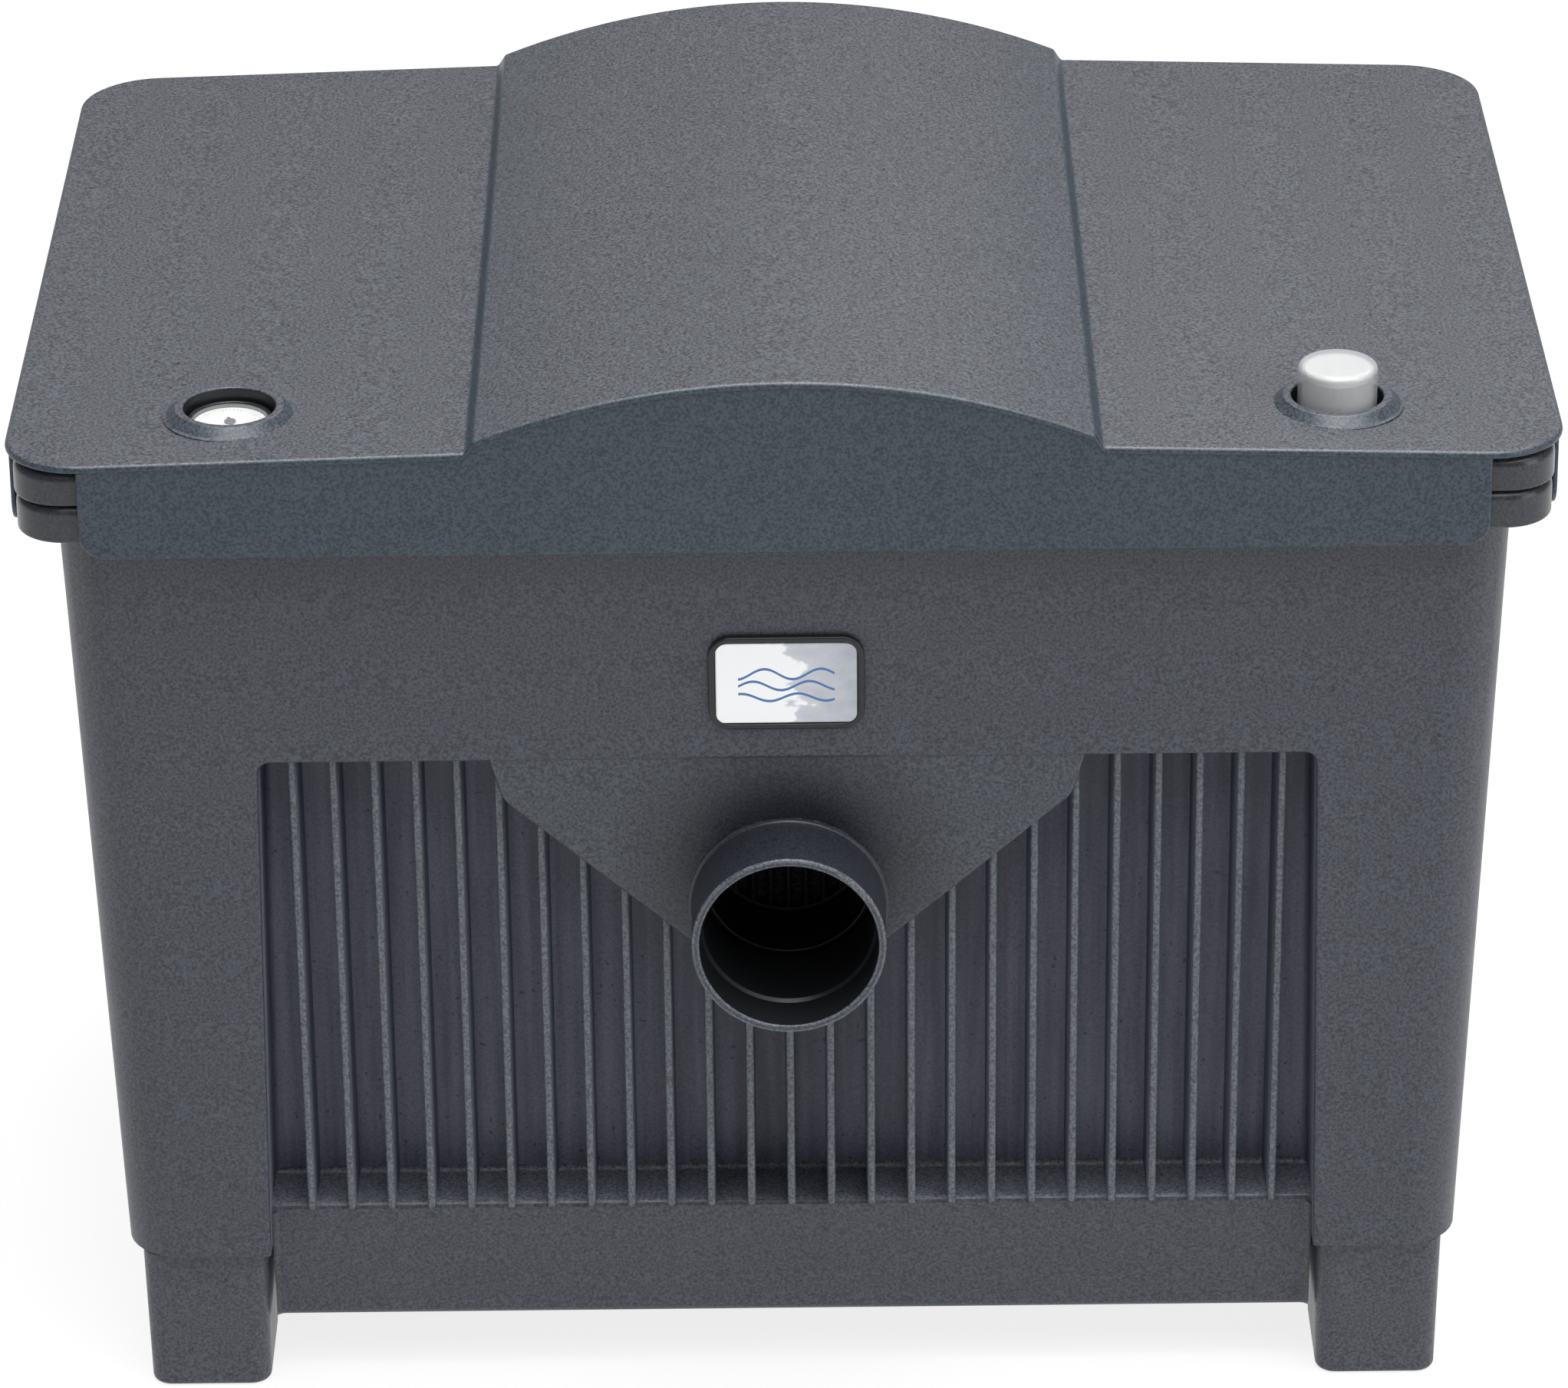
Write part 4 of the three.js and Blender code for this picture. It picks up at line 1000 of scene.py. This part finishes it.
def thermometer_pieces():
    x, y = -WELL_X, WELL_Y
    probe_hole, pocket = PROBE_RADIUS + GAP, DIAL_RADIUS + GAP
    housing = filleted([
        (probe_hole, INSTRUMENT_Z, 0), (HOUSING_NECK, INSTRUMENT_Z, 0.8), (HOUSING_NECK, 400, 2),
        (HOUSING_RADIUS, 404, 2), (HOUSING_RADIUS, HOUSING_TOP_Z, 0.7), (pocket, HOUSING_TOP_Z, 0.5),
        (pocket, DIAL_FLOOR_Z, 0), (probe_hole, DIAL_FLOOR_Z, 0),
    ], 4)
    dial = [(DIAL_RADIUS, DIAL_FLOOR_Z + GAP), (DIAL_RADIUS, DIAL_Z - 0.4), (DIAL_RADIUS - 0.4, DIAL_Z)]
    lens = [(DIAL_RADIUS, LENS_LOW_Z), (DIAL_RADIUS, LENS_Z - 0.2), (DIAL_RADIUS - 0.3, LENS_Z)]
    tip = [(2.5, 0), (3.9, 0.6), (4.7, 2.4), (PROBE_RADIUS, 4)]
    probe = [*[(radius, PROBE_LOW_Z + rise) for radius, rise in tip], (PROBE_RADIUS, DIAL_FLOOR_Z)]
    hub = [(2.2, DIAL_Z + GAP), (2.2, NEEDLE_Z), (2.1, NEEDLE_Z + 0.1)]
    blade = filleted([(-3.5, -0.7, 0.3), (-3.5, 0.7, 0.3), (11.5, 0.22, 0.15), (11.5, -0.22, 0.15)], 3)
    turn = Matrix.Translation((x, y, 0)) @ Matrix.Rotation(math.radians(NEEDLE_DEG), 4, "Z")
    needle = Form().upright([(blade, DIAL_Z + GAP), (blade, NEEDLE_Z)]).moved(turn)
    return {
        "thermometer_housing": turned_in_well(housing, x, loop=True),
        "thermometer_dial": turned_in_well(dial, x),
        "thermometer_lens": turned_in_well(lens, x),
        "thermometer_probe": turned_in_well(probe, x, 48),
        "thermometer_needle": smoothed(joined(made(Form().turned(hub, (x, y, 0), "z", 32)), needle)),
    }


def indicator_pieces():
    x, y = WELL_X, WELL_Y
    inner, ceiling = SIGHT_RADIUS - SIGHT_WALL, SIGHT_TOP_Z - SIGHT_WALL
    cap = filleted([
        (inner, INSTRUMENT_Z, 0.3), (SIGHT_RADIUS, INSTRUMENT_Z, 0.3), (SIGHT_RADIUS, SIGHT_TOP_Z, 2.4),
        (1, SIGHT_TOP_Z, 0), (1, ceiling, 0), (inner, ceiling, 1.2),
    ], 6)
    flag = [(FLAG_RADIUS - 0.3, FLAG_Z), (FLAG_RADIUS, FLAG_Z + 0.3), (FLAG_RADIUS, FLAG_TOP_Z - 0.8),
            (FLAG_RADIUS - 0.2, FLAG_TOP_Z - 0.2), (FLAG_RADIUS - 0.7, FLAG_TOP_Z)]
    float_top = FLOAT_LOW_Z + FLOAT_HIGH
    float_outline = filleted([
        (2, FLOAT_LOW_Z, 0), (15, FLOAT_LOW_Z, 4), (15, float_top, 4), (2, float_top, 0),
    ], 6, closed=False)
    rod = [(1.6, float_top + 0.6), (2, float_top + 1), (2, FLAG_Z - 0.7), (1.6, FLAG_Z - GAP)]
    crown = Form().turned([(1.5, ceiling), (1.5, SIGHT_TOP_Z)], (x, y, 0), "z", 72)
    return {
        "sight_cap": smoothed(joined(made(Form().turned(cap, (x, y, 0), "z", 72, loop=True)), crown)),
        "indicator_flag": turned_in_well(flag, x),
        "indicator_rod": turned_in_well(rod, x, 32),
        "indicator_float": turned_in_well(float_outline, x),
    }


# ---------------------------------------------------------------- materials


class Finish:
    """A material's nodes round one Principled shader."""

    def __init__(self, name, roughness, **sockets):
        self.material = bpy.data.materials.new(name)
        self.material.use_nodes = True
        self.tree = self.material.node_tree
        self.shader = self.tree.nodes["Principled BSDF"]
        self.shader.inputs["Roughness"].default_value = roughness
        for socket, value in sockets.items():
            self.shader.inputs[socket.replace("_", " ")].default_value = value
        self.place = self.tree.nodes.new("ShaderNodeTexCoord").outputs["Object"]

    def node(self, kind, links=None, **settings):
        node = self.tree.nodes.new("ShaderNode" + kind)
        for key, value in settings.items():
            setattr(node, key, value)
        for key, value in (links or {}).items():
            if isinstance(value, bpy.types.NodeSocket):
                self.tree.links.new(value, node.inputs[key])
            else:
                node.inputs[key].default_value = value
        return node

    def grain(self, size_mm, detail=3, stretch=(1, 1, 1)):
        """A noise whose patches are about size_mm across."""
        place = self.node("Mapping", {"Vector": self.place, "Scale": stretch}).outputs["Vector"]
        links = {"Vector": place, "Scale": 1 / (size_mm * MM), "Detail": detail}
        return self.node("TexNoise", links).outputs["Fac"]

    def facing_up(self):
        """From 0 on upright faces to 1 on level ones."""
        normal = self.node("NewGeometry").outputs["Normal"]
        rise = self.node("SeparateXYZ", {"Vector": normal}).outputs["Z"]
        return self.node("MapRange", {"Value": rise, "From Min": 0.6, "From Max": 0.97}).outputs["Result"]

    def maths(self, operation, *values):
        return self.node("Math", dict(enumerate(values)), operation=operation).outputs[0]

    def ramp(self, factor, stops):
        node = self.node("ValToRGB", {"Fac": factor})
        elements = node.color_ramp.elements
        while len(elements) < len(stops):
            elements.new(0.5)
        for element, (position, colour) in zip(elements, stops):
            element.position = position
            element.color = (*colour, 1)
        return node.outputs["Color"]

    def mixed(self, factor, first, second, blend="MIX"):
        node = self.node("Mix", data_type="RGBA", blend_type=blend)
        for index, value in ((0, factor), (6, first), (7, second)):
            if isinstance(value, bpy.types.NodeSocket):
                self.tree.links.new(value, node.inputs[index])
            else:
                node.inputs[index].default_value = value if index == 0 else (*value, 1)
        return node.outputs[2]

    def colour(self, socket):
        self.tree.links.new(socket, self.shader.inputs["Base Color"])

    def rough(self, factor, low, high):
        """Roughness that wanders between two values."""
        links = {"Value": factor, "To Min": low, "To Max": high, "From Min": 0.3, "From Max": 0.7}
        node = self.node("MapRange", links)
        self.tree.links.new(node.outputs["Result"], self.shader.inputs["Roughness"])

    def relief(self, layers):
        """Bump from (height, depth_mm) layers, one on top of the other."""
        normal = None
        for height, depth in layers:
            links = {"Height": height, "Distance": depth * MM, "Strength": 1.0}
            if normal is not None:
                links["Normal"] = normal
            normal = self.node("Bump", links).outputs["Normal"]
        self.tree.links.new(normal, self.shader.inputs["Normal"])


def shade(colour, factor):
    return tuple(min(1, channel * factor) for channel in colour)


def streaked(finish):
    """Faint streaks that run down the wall."""
    streaks = finish.grain(5, 3, (1, 1, 0.03))
    return finish.ramp(streaks, [(0.3, (0.72, 0.72, 0.72)), (0.7, (1.28, 1.28, 1.28))])


def painted_shade_round_outlet(finish):
    """Painted shade: darker towards the outlet tube, most of all above it, where the tube keeps the floor's
    light off the boss.
    """
    middle = (0, MIDDLE_Y, (OUTLET_Z + HALO_RISE) * MM)
    away = finish.node("VectorMath", {0: finish.place, 1: middle}, operation="SUBTRACT").outputs["Vector"]
    flat = finish.node("VectorMath", {0: away, 1: (1, 0, 1)}, operation="MULTIPLY").outputs["Vector"]
    distance = finish.node("VectorMath", {0: flat}, operation="LENGTH").outputs["Value"]
    links = {"Value": distance, "From Min": 0.028, "From Max": 0.072}
    share = finish.node("MapRange", links).outputs["Result"]
    return finish.ramp(share, [(0, (0.26, 0.25, 0.31)), (1, (1, 1, 1))])


def moulded(name, colour, roughness, speckle=0.5, grain_mm=1.1, depth=0.045, upright_shade_colour=None, layers=()):
    """Injection-moulded plastic: a fine eroded grain, a few dark pores, faint clouds, uneven gloss.

    With an upright colour, faces that look up have the colour and upright ones the other, a painted shade
    for light that falls from above. The layers are functions that give further colours to multiply by.
    """
    finish = Finish(name, roughness, Specular_IOR_Level=0.45)
    fine = finish.grain(grain_mm, 3)
    grey = finish.ramp(fine, [(0.36, (1 - speckle,) * 3), (0.64, (1 + speckle,) * 3)])
    cloudy = finish.ramp(finish.grain(90, 3), [(0.3, (0.97, 0.97, 0.975)), (0.7, (1, 1, 1))])
    pores = finish.ramp(finish.grain(2.6, 1), [(0.70, (1, 1, 1)), (0.76, (0.45, 0.45, 0.45))])
    ground = finish.mixed(0.0, colour, colour)
    if upright_shade_colour:
        ground = finish.mixed(finish.facing_up(), upright_shade_colour, colour)
    for layer in (grey, cloudy, pores, *[made_layer(finish) for made_layer in layers]):
        ground = finish.mixed(1.0, ground, layer, "MULTIPLY")
    finish.colour(ground)
    finish.rough(finish.grain(30, 3), roughness - 0.03, roughness + 0.05)
    finish.relief([(fine, depth)])
    return finish.material


def brushed_steel(name):
    finish = Finish(name, 0.28, Metallic=1.0)
    lines = finish.grain(1.2, 3, (1, 1, 0.04))
    finish.colour(finish.ramp(lines, [(0.3, (0.50, 0.51, 0.52)), (0.7, (0.66, 0.67, 0.68))]))
    finish.relief([(lines, 0.02)])
    return finish.material


def open_foam(name, colour, pore_mm):
    """Reticulated foam: dark pores between thin bright struts, the pores' darkness a painted shade."""
    finish = Finish(name, 0.9, Sheen_Weight=0.25)
    links = {"Vector": finish.place, "Scale": 1 / (pore_mm * MM), "Randomness": 1.0}
    cells = finish.node("TexVoronoi", links, feature="DISTANCE_TO_EDGE").outputs["Distance"]
    # Painted shade: the colour darkens towards the middle of each pore.
    stops = [(0.03, shade(colour, 1.25)), (0.16, shade(colour, 0.7)), (0.4, shade(colour, 0.16))]
    finish.colour(finish.ramp(cells, stops))
    links = {"Value": cells, "From Max": 0.35, "To Min": 1.0, "To Max": 0.0}
    depth = finish.node("MapRange", links).outputs["Result"]
    finish.relief([(depth, 1.1), (finish.grain(14, 3), 0.8)])
    return finish.material


def clear_plastic(name, opacity):
    """Thin clear plastic: light goes straight through what its faint milky tint leaves open."""
    finish = Finish(name, 0.08, Alpha=opacity, Specular_IOR_Level=0.9)
    finish.colour(finish.ramp(finish.grain(20, 3), [(0.3, (0.80, 0.82, 0.83)), (0.7, (0.88, 0.90, 0.91))]))
    finish.rough(finish.grain(6, 3), 0.05, 0.11)
    return finish.material


def plain(name, roughness, patch, tones, bump):
    """A colour that wanders between two tones in patches of (size, detail), bumped (size, detail, depth)."""
    finish = Finish(name, roughness)
    finish.colour(finish.ramp(finish.grain(*patch), [(0.3, tones[0]), (0.7, tones[1])]))
    size, detail, depth = bump
    finish.relief([(finish.grain(size, detail), depth)])
    return finish.material


def printed_dial(name):
    """A white face with a ring of printed marks, a long one every fifth."""
    finish = Finish(name, 0.32)
    middle = (-WELL_X * MM, WELL_Y * MM + MIDDLE_Y, 0)
    centred = finish.node("VectorMath", {0: finish.place, 1: middle}, operation="SUBTRACT").outputs["Vector"]
    parts = finish.node("SeparateXYZ", {"Vector": centred})
    x, y = parts.outputs["X"], parts.outputs["Y"]

    maths = finish.maths
    radius = maths("SQRT", maths("ADD", maths("MULTIPLY", x, x), maths("MULTIPLY", y, y)))
    turn = maths("MULTIPLY", maths("ARCTAN2", y, x), 1 / (2 * math.pi))

    def marks(count, width_mm, from_mm, to_mm):
        place = maths("MULTIPLY", turn, count)
        offset = maths("ABSOLUTE", maths("SUBTRACT", maths("FRACT", maths("ADD", place, 100.5)), 0.5))
        across = maths("MULTIPLY", maths("MULTIPLY", offset, radius), 2 * math.pi / count)
        near = maths("LESS_THAN", across, width_mm * MM / 2)
        outside, inside = maths("GREATER_THAN", radius, from_mm * MM), maths("LESS_THAN", radius, to_mm * MM)
        band = maths("MULTIPLY", outside, inside)
        return maths("MULTIPLY", near, band)

    ink = maths("MAXIMUM", marks(50, 0.25, 11.4, 12.6), marks(10, 0.4, 10.4, 12.6))
    face = finish.ramp(finish.grain(6, 3), [(0.3, (0.56, 0.56, 0.55)), (0.7, (0.60, 0.60, 0.59))])
    finish.colour(finish.mixed(ink, face, (0.30, 0.32, 0.35)))
    return finish.material


def badge_print(name):
    """A white label with soft blue-grey water at one end and three plain wave lines."""
    finish = Finish(name, 0.22, Coat_Weight=0.6)
    parts = finish.node("SeparateXYZ", {"Vector": finish.place})
    x, z = parts.outputs["X"], parts.outputs["Z"]

    maths = finish.maths
    water = finish.grain(9, 5, (1, 1, 1.6))
    slope = maths("ADD", maths("MULTIPLY", x, 26), maths("MULTIPLY", maths("SUBTRACT", water, 0.5), 1.1))
    stops = [(0.02, (0.86, 0.87, 0.88)), (0.10, (0.52, 0.54, 0.58)), (0.9, (0.33, 0.35, 0.40))]
    washed = finish.ramp(slope, stops)
    lines = None
    for row, amplitude in ((-6, 1.6), (-1, 1.9), (4, 2.2)):
        wave = maths("MULTIPLY", maths("SINE", maths("ADD", maths("MULTIPLY", x, 290), row)), amplitude * MM)
        away = maths("ABSOLUTE", maths("SUBTRACT", maths("SUBTRACT", z, (BADGE_Z + row) * MM), wave))
        in_reach = maths("LESS_THAN", maths("ABSOLUTE", x), 0.0185)
        line = maths("MULTIPLY", maths("LESS_THAN", away, 0.55 * MM), in_reach)
        lines = line if lines is None else maths("MAXIMUM", lines, line)
    finish.colour(finish.mixed(lines, washed, (0.03, 0.13, 0.36)))
    return finish.material


# ---------------------------------------------------------------- camera, floor and light


def camera():
    """The view of the reference: a long lens looking down on the front."""
    focal_px, width_px = 9347.5, 2044
    pitch, roll = math.radians(25.884), math.radians(0.607)
    data = bpy.data.cameras.new("camera")
    data.sensor_width = 36
    data.lens = focal_px / width_px * data.sensor_width
    data.clip_start, data.clip_end = 0.1, 100
    ahead = Vector((0, math.cos(pitch), -math.sin(pitch)))
    right = Vector((1, 0, 0))
    down = ahead.cross(right)
    turned_right = right * math.cos(roll) + down * math.sin(roll)
    turned_down = down * math.cos(roll) - right * math.sin(roll)
    thing = bpy.data.objects.new("camera", data)
    axes = Matrix((turned_right, -turned_down, -ahead)).transposed()
    place = Matrix.Translation((-0.00093, MIDDLE_Y - 2.65951, 1.51637))
    thing.matrix_world = place @ axes.to_4x4()
    bpy.context.scene.collection.objects.link(thing)
    bpy.context.scene.camera = thing


def softbox(name, place, target, width, height, power):
    data = bpy.data.lights.new(name, "AREA")
    data.shape = "RECTANGLE"
    data.size, data.size_y = width, height
    data.energy = power
    thing = bpy.data.objects.new(name, data)
    thing.location = place
    thing.rotation_mode = "QUATERNION"
    thing.rotation_quaternion = (Vector(target) - Vector(place)).to_track_quat("-Z", "Y")
    bpy.context.scene.collection.objects.link(thing)


def overhead(strength, spread_deg):
    """An even, soft light from straight above, the same all over the floor."""
    data = bpy.data.lights.new("overhead", "SUN")
    data.energy = strength
    data.angle = math.radians(spread_deg)
    thing = bpy.data.objects.new("overhead", data)
    bpy.context.scene.collection.objects.link(thing)


def studio():
    """A white floor that runs out of sight, an even surround and large soft lights."""
    finish = Finish("floor_paper", 0.9, Specular_IOR_Level=0.1)
    mottled = finish.grain(400, 3)
    finish.colour(finish.ramp(mottled, [(0.3, (0.165, 0.165, 0.165)), (0.7, (0.175, 0.175, 0.175))]))
    finish.shader.inputs["Emission Color"].default_value = (1, 1, 1, 1)
    finish.shader.inputs["Emission Strength"].default_value = 0.82
    mesh = bpy.data.meshes.new("floor")
    reach = 30
    corners = [(-reach, -reach, 0), (reach, -reach, 0), (reach, reach, 0), (-reach, reach, 0)]
    mesh.from_pydata(corners, [], [(0, 1, 2, 3)])
    mesh.materials.append(finish.material)
    floor = bpy.data.objects.new("floor", mesh)
    bpy.context.scene.collection.objects.link(floor)

    world = bpy.data.worlds.new("surround")
    bpy.context.scene.world = world
    world.use_nodes = True
    world.node_tree.nodes["Background"].inputs["Color"].default_value = (1, 1, 1, 1)
    world.node_tree.nodes["Background"].inputs["Strength"].default_value = 0.22
    overhead(3.3, 40)
    softbox("front", (0.45, -0.9, 2.0), (0, -0.1, 0.3), 2.2, 1.5, 34)
    softbox("right", (2.1, -1.3, 0.9), (0, -0.1, 0.25), 1.2, 1.4, 12)
    softbox("back", (0.6, 1.9, 2.4), (0, 0, 0.3), 1.2, 0.8, 6)
    bpy.context.scene.view_settings.view_transform = "Standard"


# ---------------------------------------------------------------- the whole object

camera()
studio()

TUB = moulded("tub_plastic", (0.042, 0.046, 0.060), 0.40)
# Painted highlight: the ribs' fronts and the outlet's lip are lighter than the tub, as if they caught the
# light.
PAINTED_HIGHLIGHT = moulded("painted_highlight_plastic", (0.085, 0.097, 0.112), 0.36)
# Painted light: the wall behind the ribs and the ribs' flanks are lighter than the tub, in place of the light
# the ribs keep off them.
RECESS = moulded("recess_painted_light_plastic", (0.145, 0.152, 0.205), 0.45, speckle=0.15, layers=(streaked,))
# Painted light: the ledge under the ribs is lighter than the tub, in place of the light the ribs and the tub
# above keep off it.
LEDGE = moulded("ledge_painted_light_plastic", (0.115, 0.122, 0.148), 0.45)
# Painted shade: the outlet tube's outside is darker than the tub it is moulded with.
SPIGOT = moulded("spigot_painted_shade_plastic", (0.021, 0.023, 0.031), 0.36, 0.3)
# Painted shade: the boss darkens round the outlet tube, most of all above it.
BOSS = moulded("boss_painted_shade_plastic", (0.045, 0.051, 0.064), 0.40, layers=(painted_shade_round_outlet,))
# Painted shade: the beads under the lid's edge are darker than the tub, for the lid's shadow; their lower
# roughness is their own gloss.
RIM = moulded("rim_painted_shade_plastic", (0.028, 0.030, 0.036), 0.26, 0.3)
# Painted light: the feet are lighter than the tub, for the light the floor throws up on them.
FOOT = moulded("foot_painted_light_plastic", (0.048, 0.052, 0.066), 0.38)
# Painted shade: the lid's upright and steep faces, its aprons and bezel flanks, are darker than its level
# top.
LID = moulded("lid_plastic", (0.068, 0.072, 0.082), 0.38, 0.5, upright_shade_colour=(0.026, 0.039, 0.054))
BLACK = moulded("black_plastic", (0.010, 0.011, 0.013), 0.34, 0.15, 0.9, 0.02)
RUBBER = plain("seal_rubber", 0.8, (3, 4), ((0.010, 0.010, 0.010), (0.022, 0.022, 0.023)), (0.6, 3, 0.08))
WHITE = plain("white_plastic", 0.35, (5, 3), ((0.29, 0.29, 0.28), (0.33, 0.33, 0.32)), (1, 2, 0.015))
ORANGE = plain("float_orange", 0.42, (8, 4), ((0.62, 0.15, 0.025), (0.72, 0.19, 0.035)), (0.8, 2, 0.03))
STEEL = brushed_steel("brushed_steel")
LENS = clear_plastic("clear_lens", 0.1)
CLEAR = clear_plastic("clear_cap", 0.26)
COARSE = open_foam("coarse_foam", (0.035, 0.037, 0.040), 3.2)
FINE = open_foam("fine_foam", (0.035, 0.16, 0.42), 1.9)

tub_nodes = [node for body in frame["record"]["behaviour"]["bodies"].values() for node in body
             if node.startswith("tub_")]
tub = finished(tub_piece(), "container", TUB, "tub_slate", [*tub_nodes, "outlet_spigot"])
# Painted shade: the tub's rim bead takes the darker rim colour.
second_finish(tub, RIM, lambda p: p.z > BEAD_BOTTOM_Z)
# Painted highlight on the ribs' fronts.
second_finish(tub, PAINTED_HIGHLIGHT, on_rib_front)
# Painted light on the ribs' flanks and the wall behind them.
second_finish(tub, RECESS, behind_rib_front)
# Painted light on the ledge under the ribs.
second_finish(tub, LEDGE, on_ledge)
# The boss's face takes the material with the painted shade round the outlet.
second_finish(tub, BOSS, on_boss)
# Painted shade: the outlet's bore takes the black plastic, dark as the shade inside the tube.
second_finish(tub, BLACK, in_outlet_bore)
# Painted shade on the outlet tube's outside.
second_finish(tub, SPIGOT, on_spigot)
# Painted highlight on the outlet tube's lip.
second_finish(tub, PAINTED_HIGHLIGHT, on_spigot_lip)
lid = finished(lid_piece(), "lid", LID, "lid_slate")
# Painted shade: the well holes' walls take the black plastic, dark as the shade inside them.
second_finish(lid, BLACK, in_well_hole)
# Painted shade: the tray takes the rim's darkened colour.
finished(tray_piece(), "tray", RIM, "tray_slate")
for end, sy in (("front", -1), ("back", 1)):
    for side, sx in (("left", -1), ("right", 1)):
        finished(foot_piece(sx, sy), f"foot_{end}_{side}", FOOT, "tub_slate")
finished(badge_frame_piece(), "badge_frame", BLACK, "black_fitting")
finished(badge_plate_piece(), "badge_plate", badge_print("badge_print"), "badge_blue")
finished(base_grid_piece(), "base_grid", BLACK, "black_fitting")
for number, (sx, sy) in enumerate(((-1, -1), (1, -1), (-1, 1), (1, 1)), 1):
    finished(grid_leg_piece(sx, sy), f"grid_leg_{number}", BLACK, "black_fitting")
finished(strainer_piece(), "outlet_strainer", BLACK, "black_fitting")
finished(grille_piece(), "strainer_grille", BLACK, "black_fitting")
for k in range(FOAM_COUNT):
    coarse = k % 2 == 0
    node = f"{'coarse' if coarse else 'fine'}_foam_{k // 2 + 1}"
    foam = foam_piece((k - (FOAM_COUNT - 1) / 2) * FOAM_PITCH, 1.0 if coarse else 0.7)
    finished(foam, node, COARSE if coarse else FINE, "coarse_foam" if coarse else "fine_foam")
for node, thing in (inlet_pieces() | drain_pieces()).items():
    soft = "gasket" in node or "seal" in node
    finished(thing, node, RUBBER if soft else BLACK, "seal_rubber" if soft else "black_fitting")

INSTRUMENTS = {
    "thermometer_housing": (BLACK, "black_fitting"),
    "thermometer_dial": (printed_dial("dial_print"), "dial_white"),
    "thermometer_lens": (LENS, "clear_plastic"),
    "thermometer_probe": (STEEL, "steel"),
    "thermometer_needle": (BLACK, "black_fitting"),
    "sight_cap": (CLEAR, "clear_plastic"),
    "indicator_flag": (WHITE, "dial_white"),
    "indicator_rod": (STEEL, "steel"),
    "indicator_float": (ORANGE, "float_orange"),
}
for node, thing in (thermometer_pieces() | indicator_pieces()).items():
    finished(thing, node, *INSTRUMENTS[node])
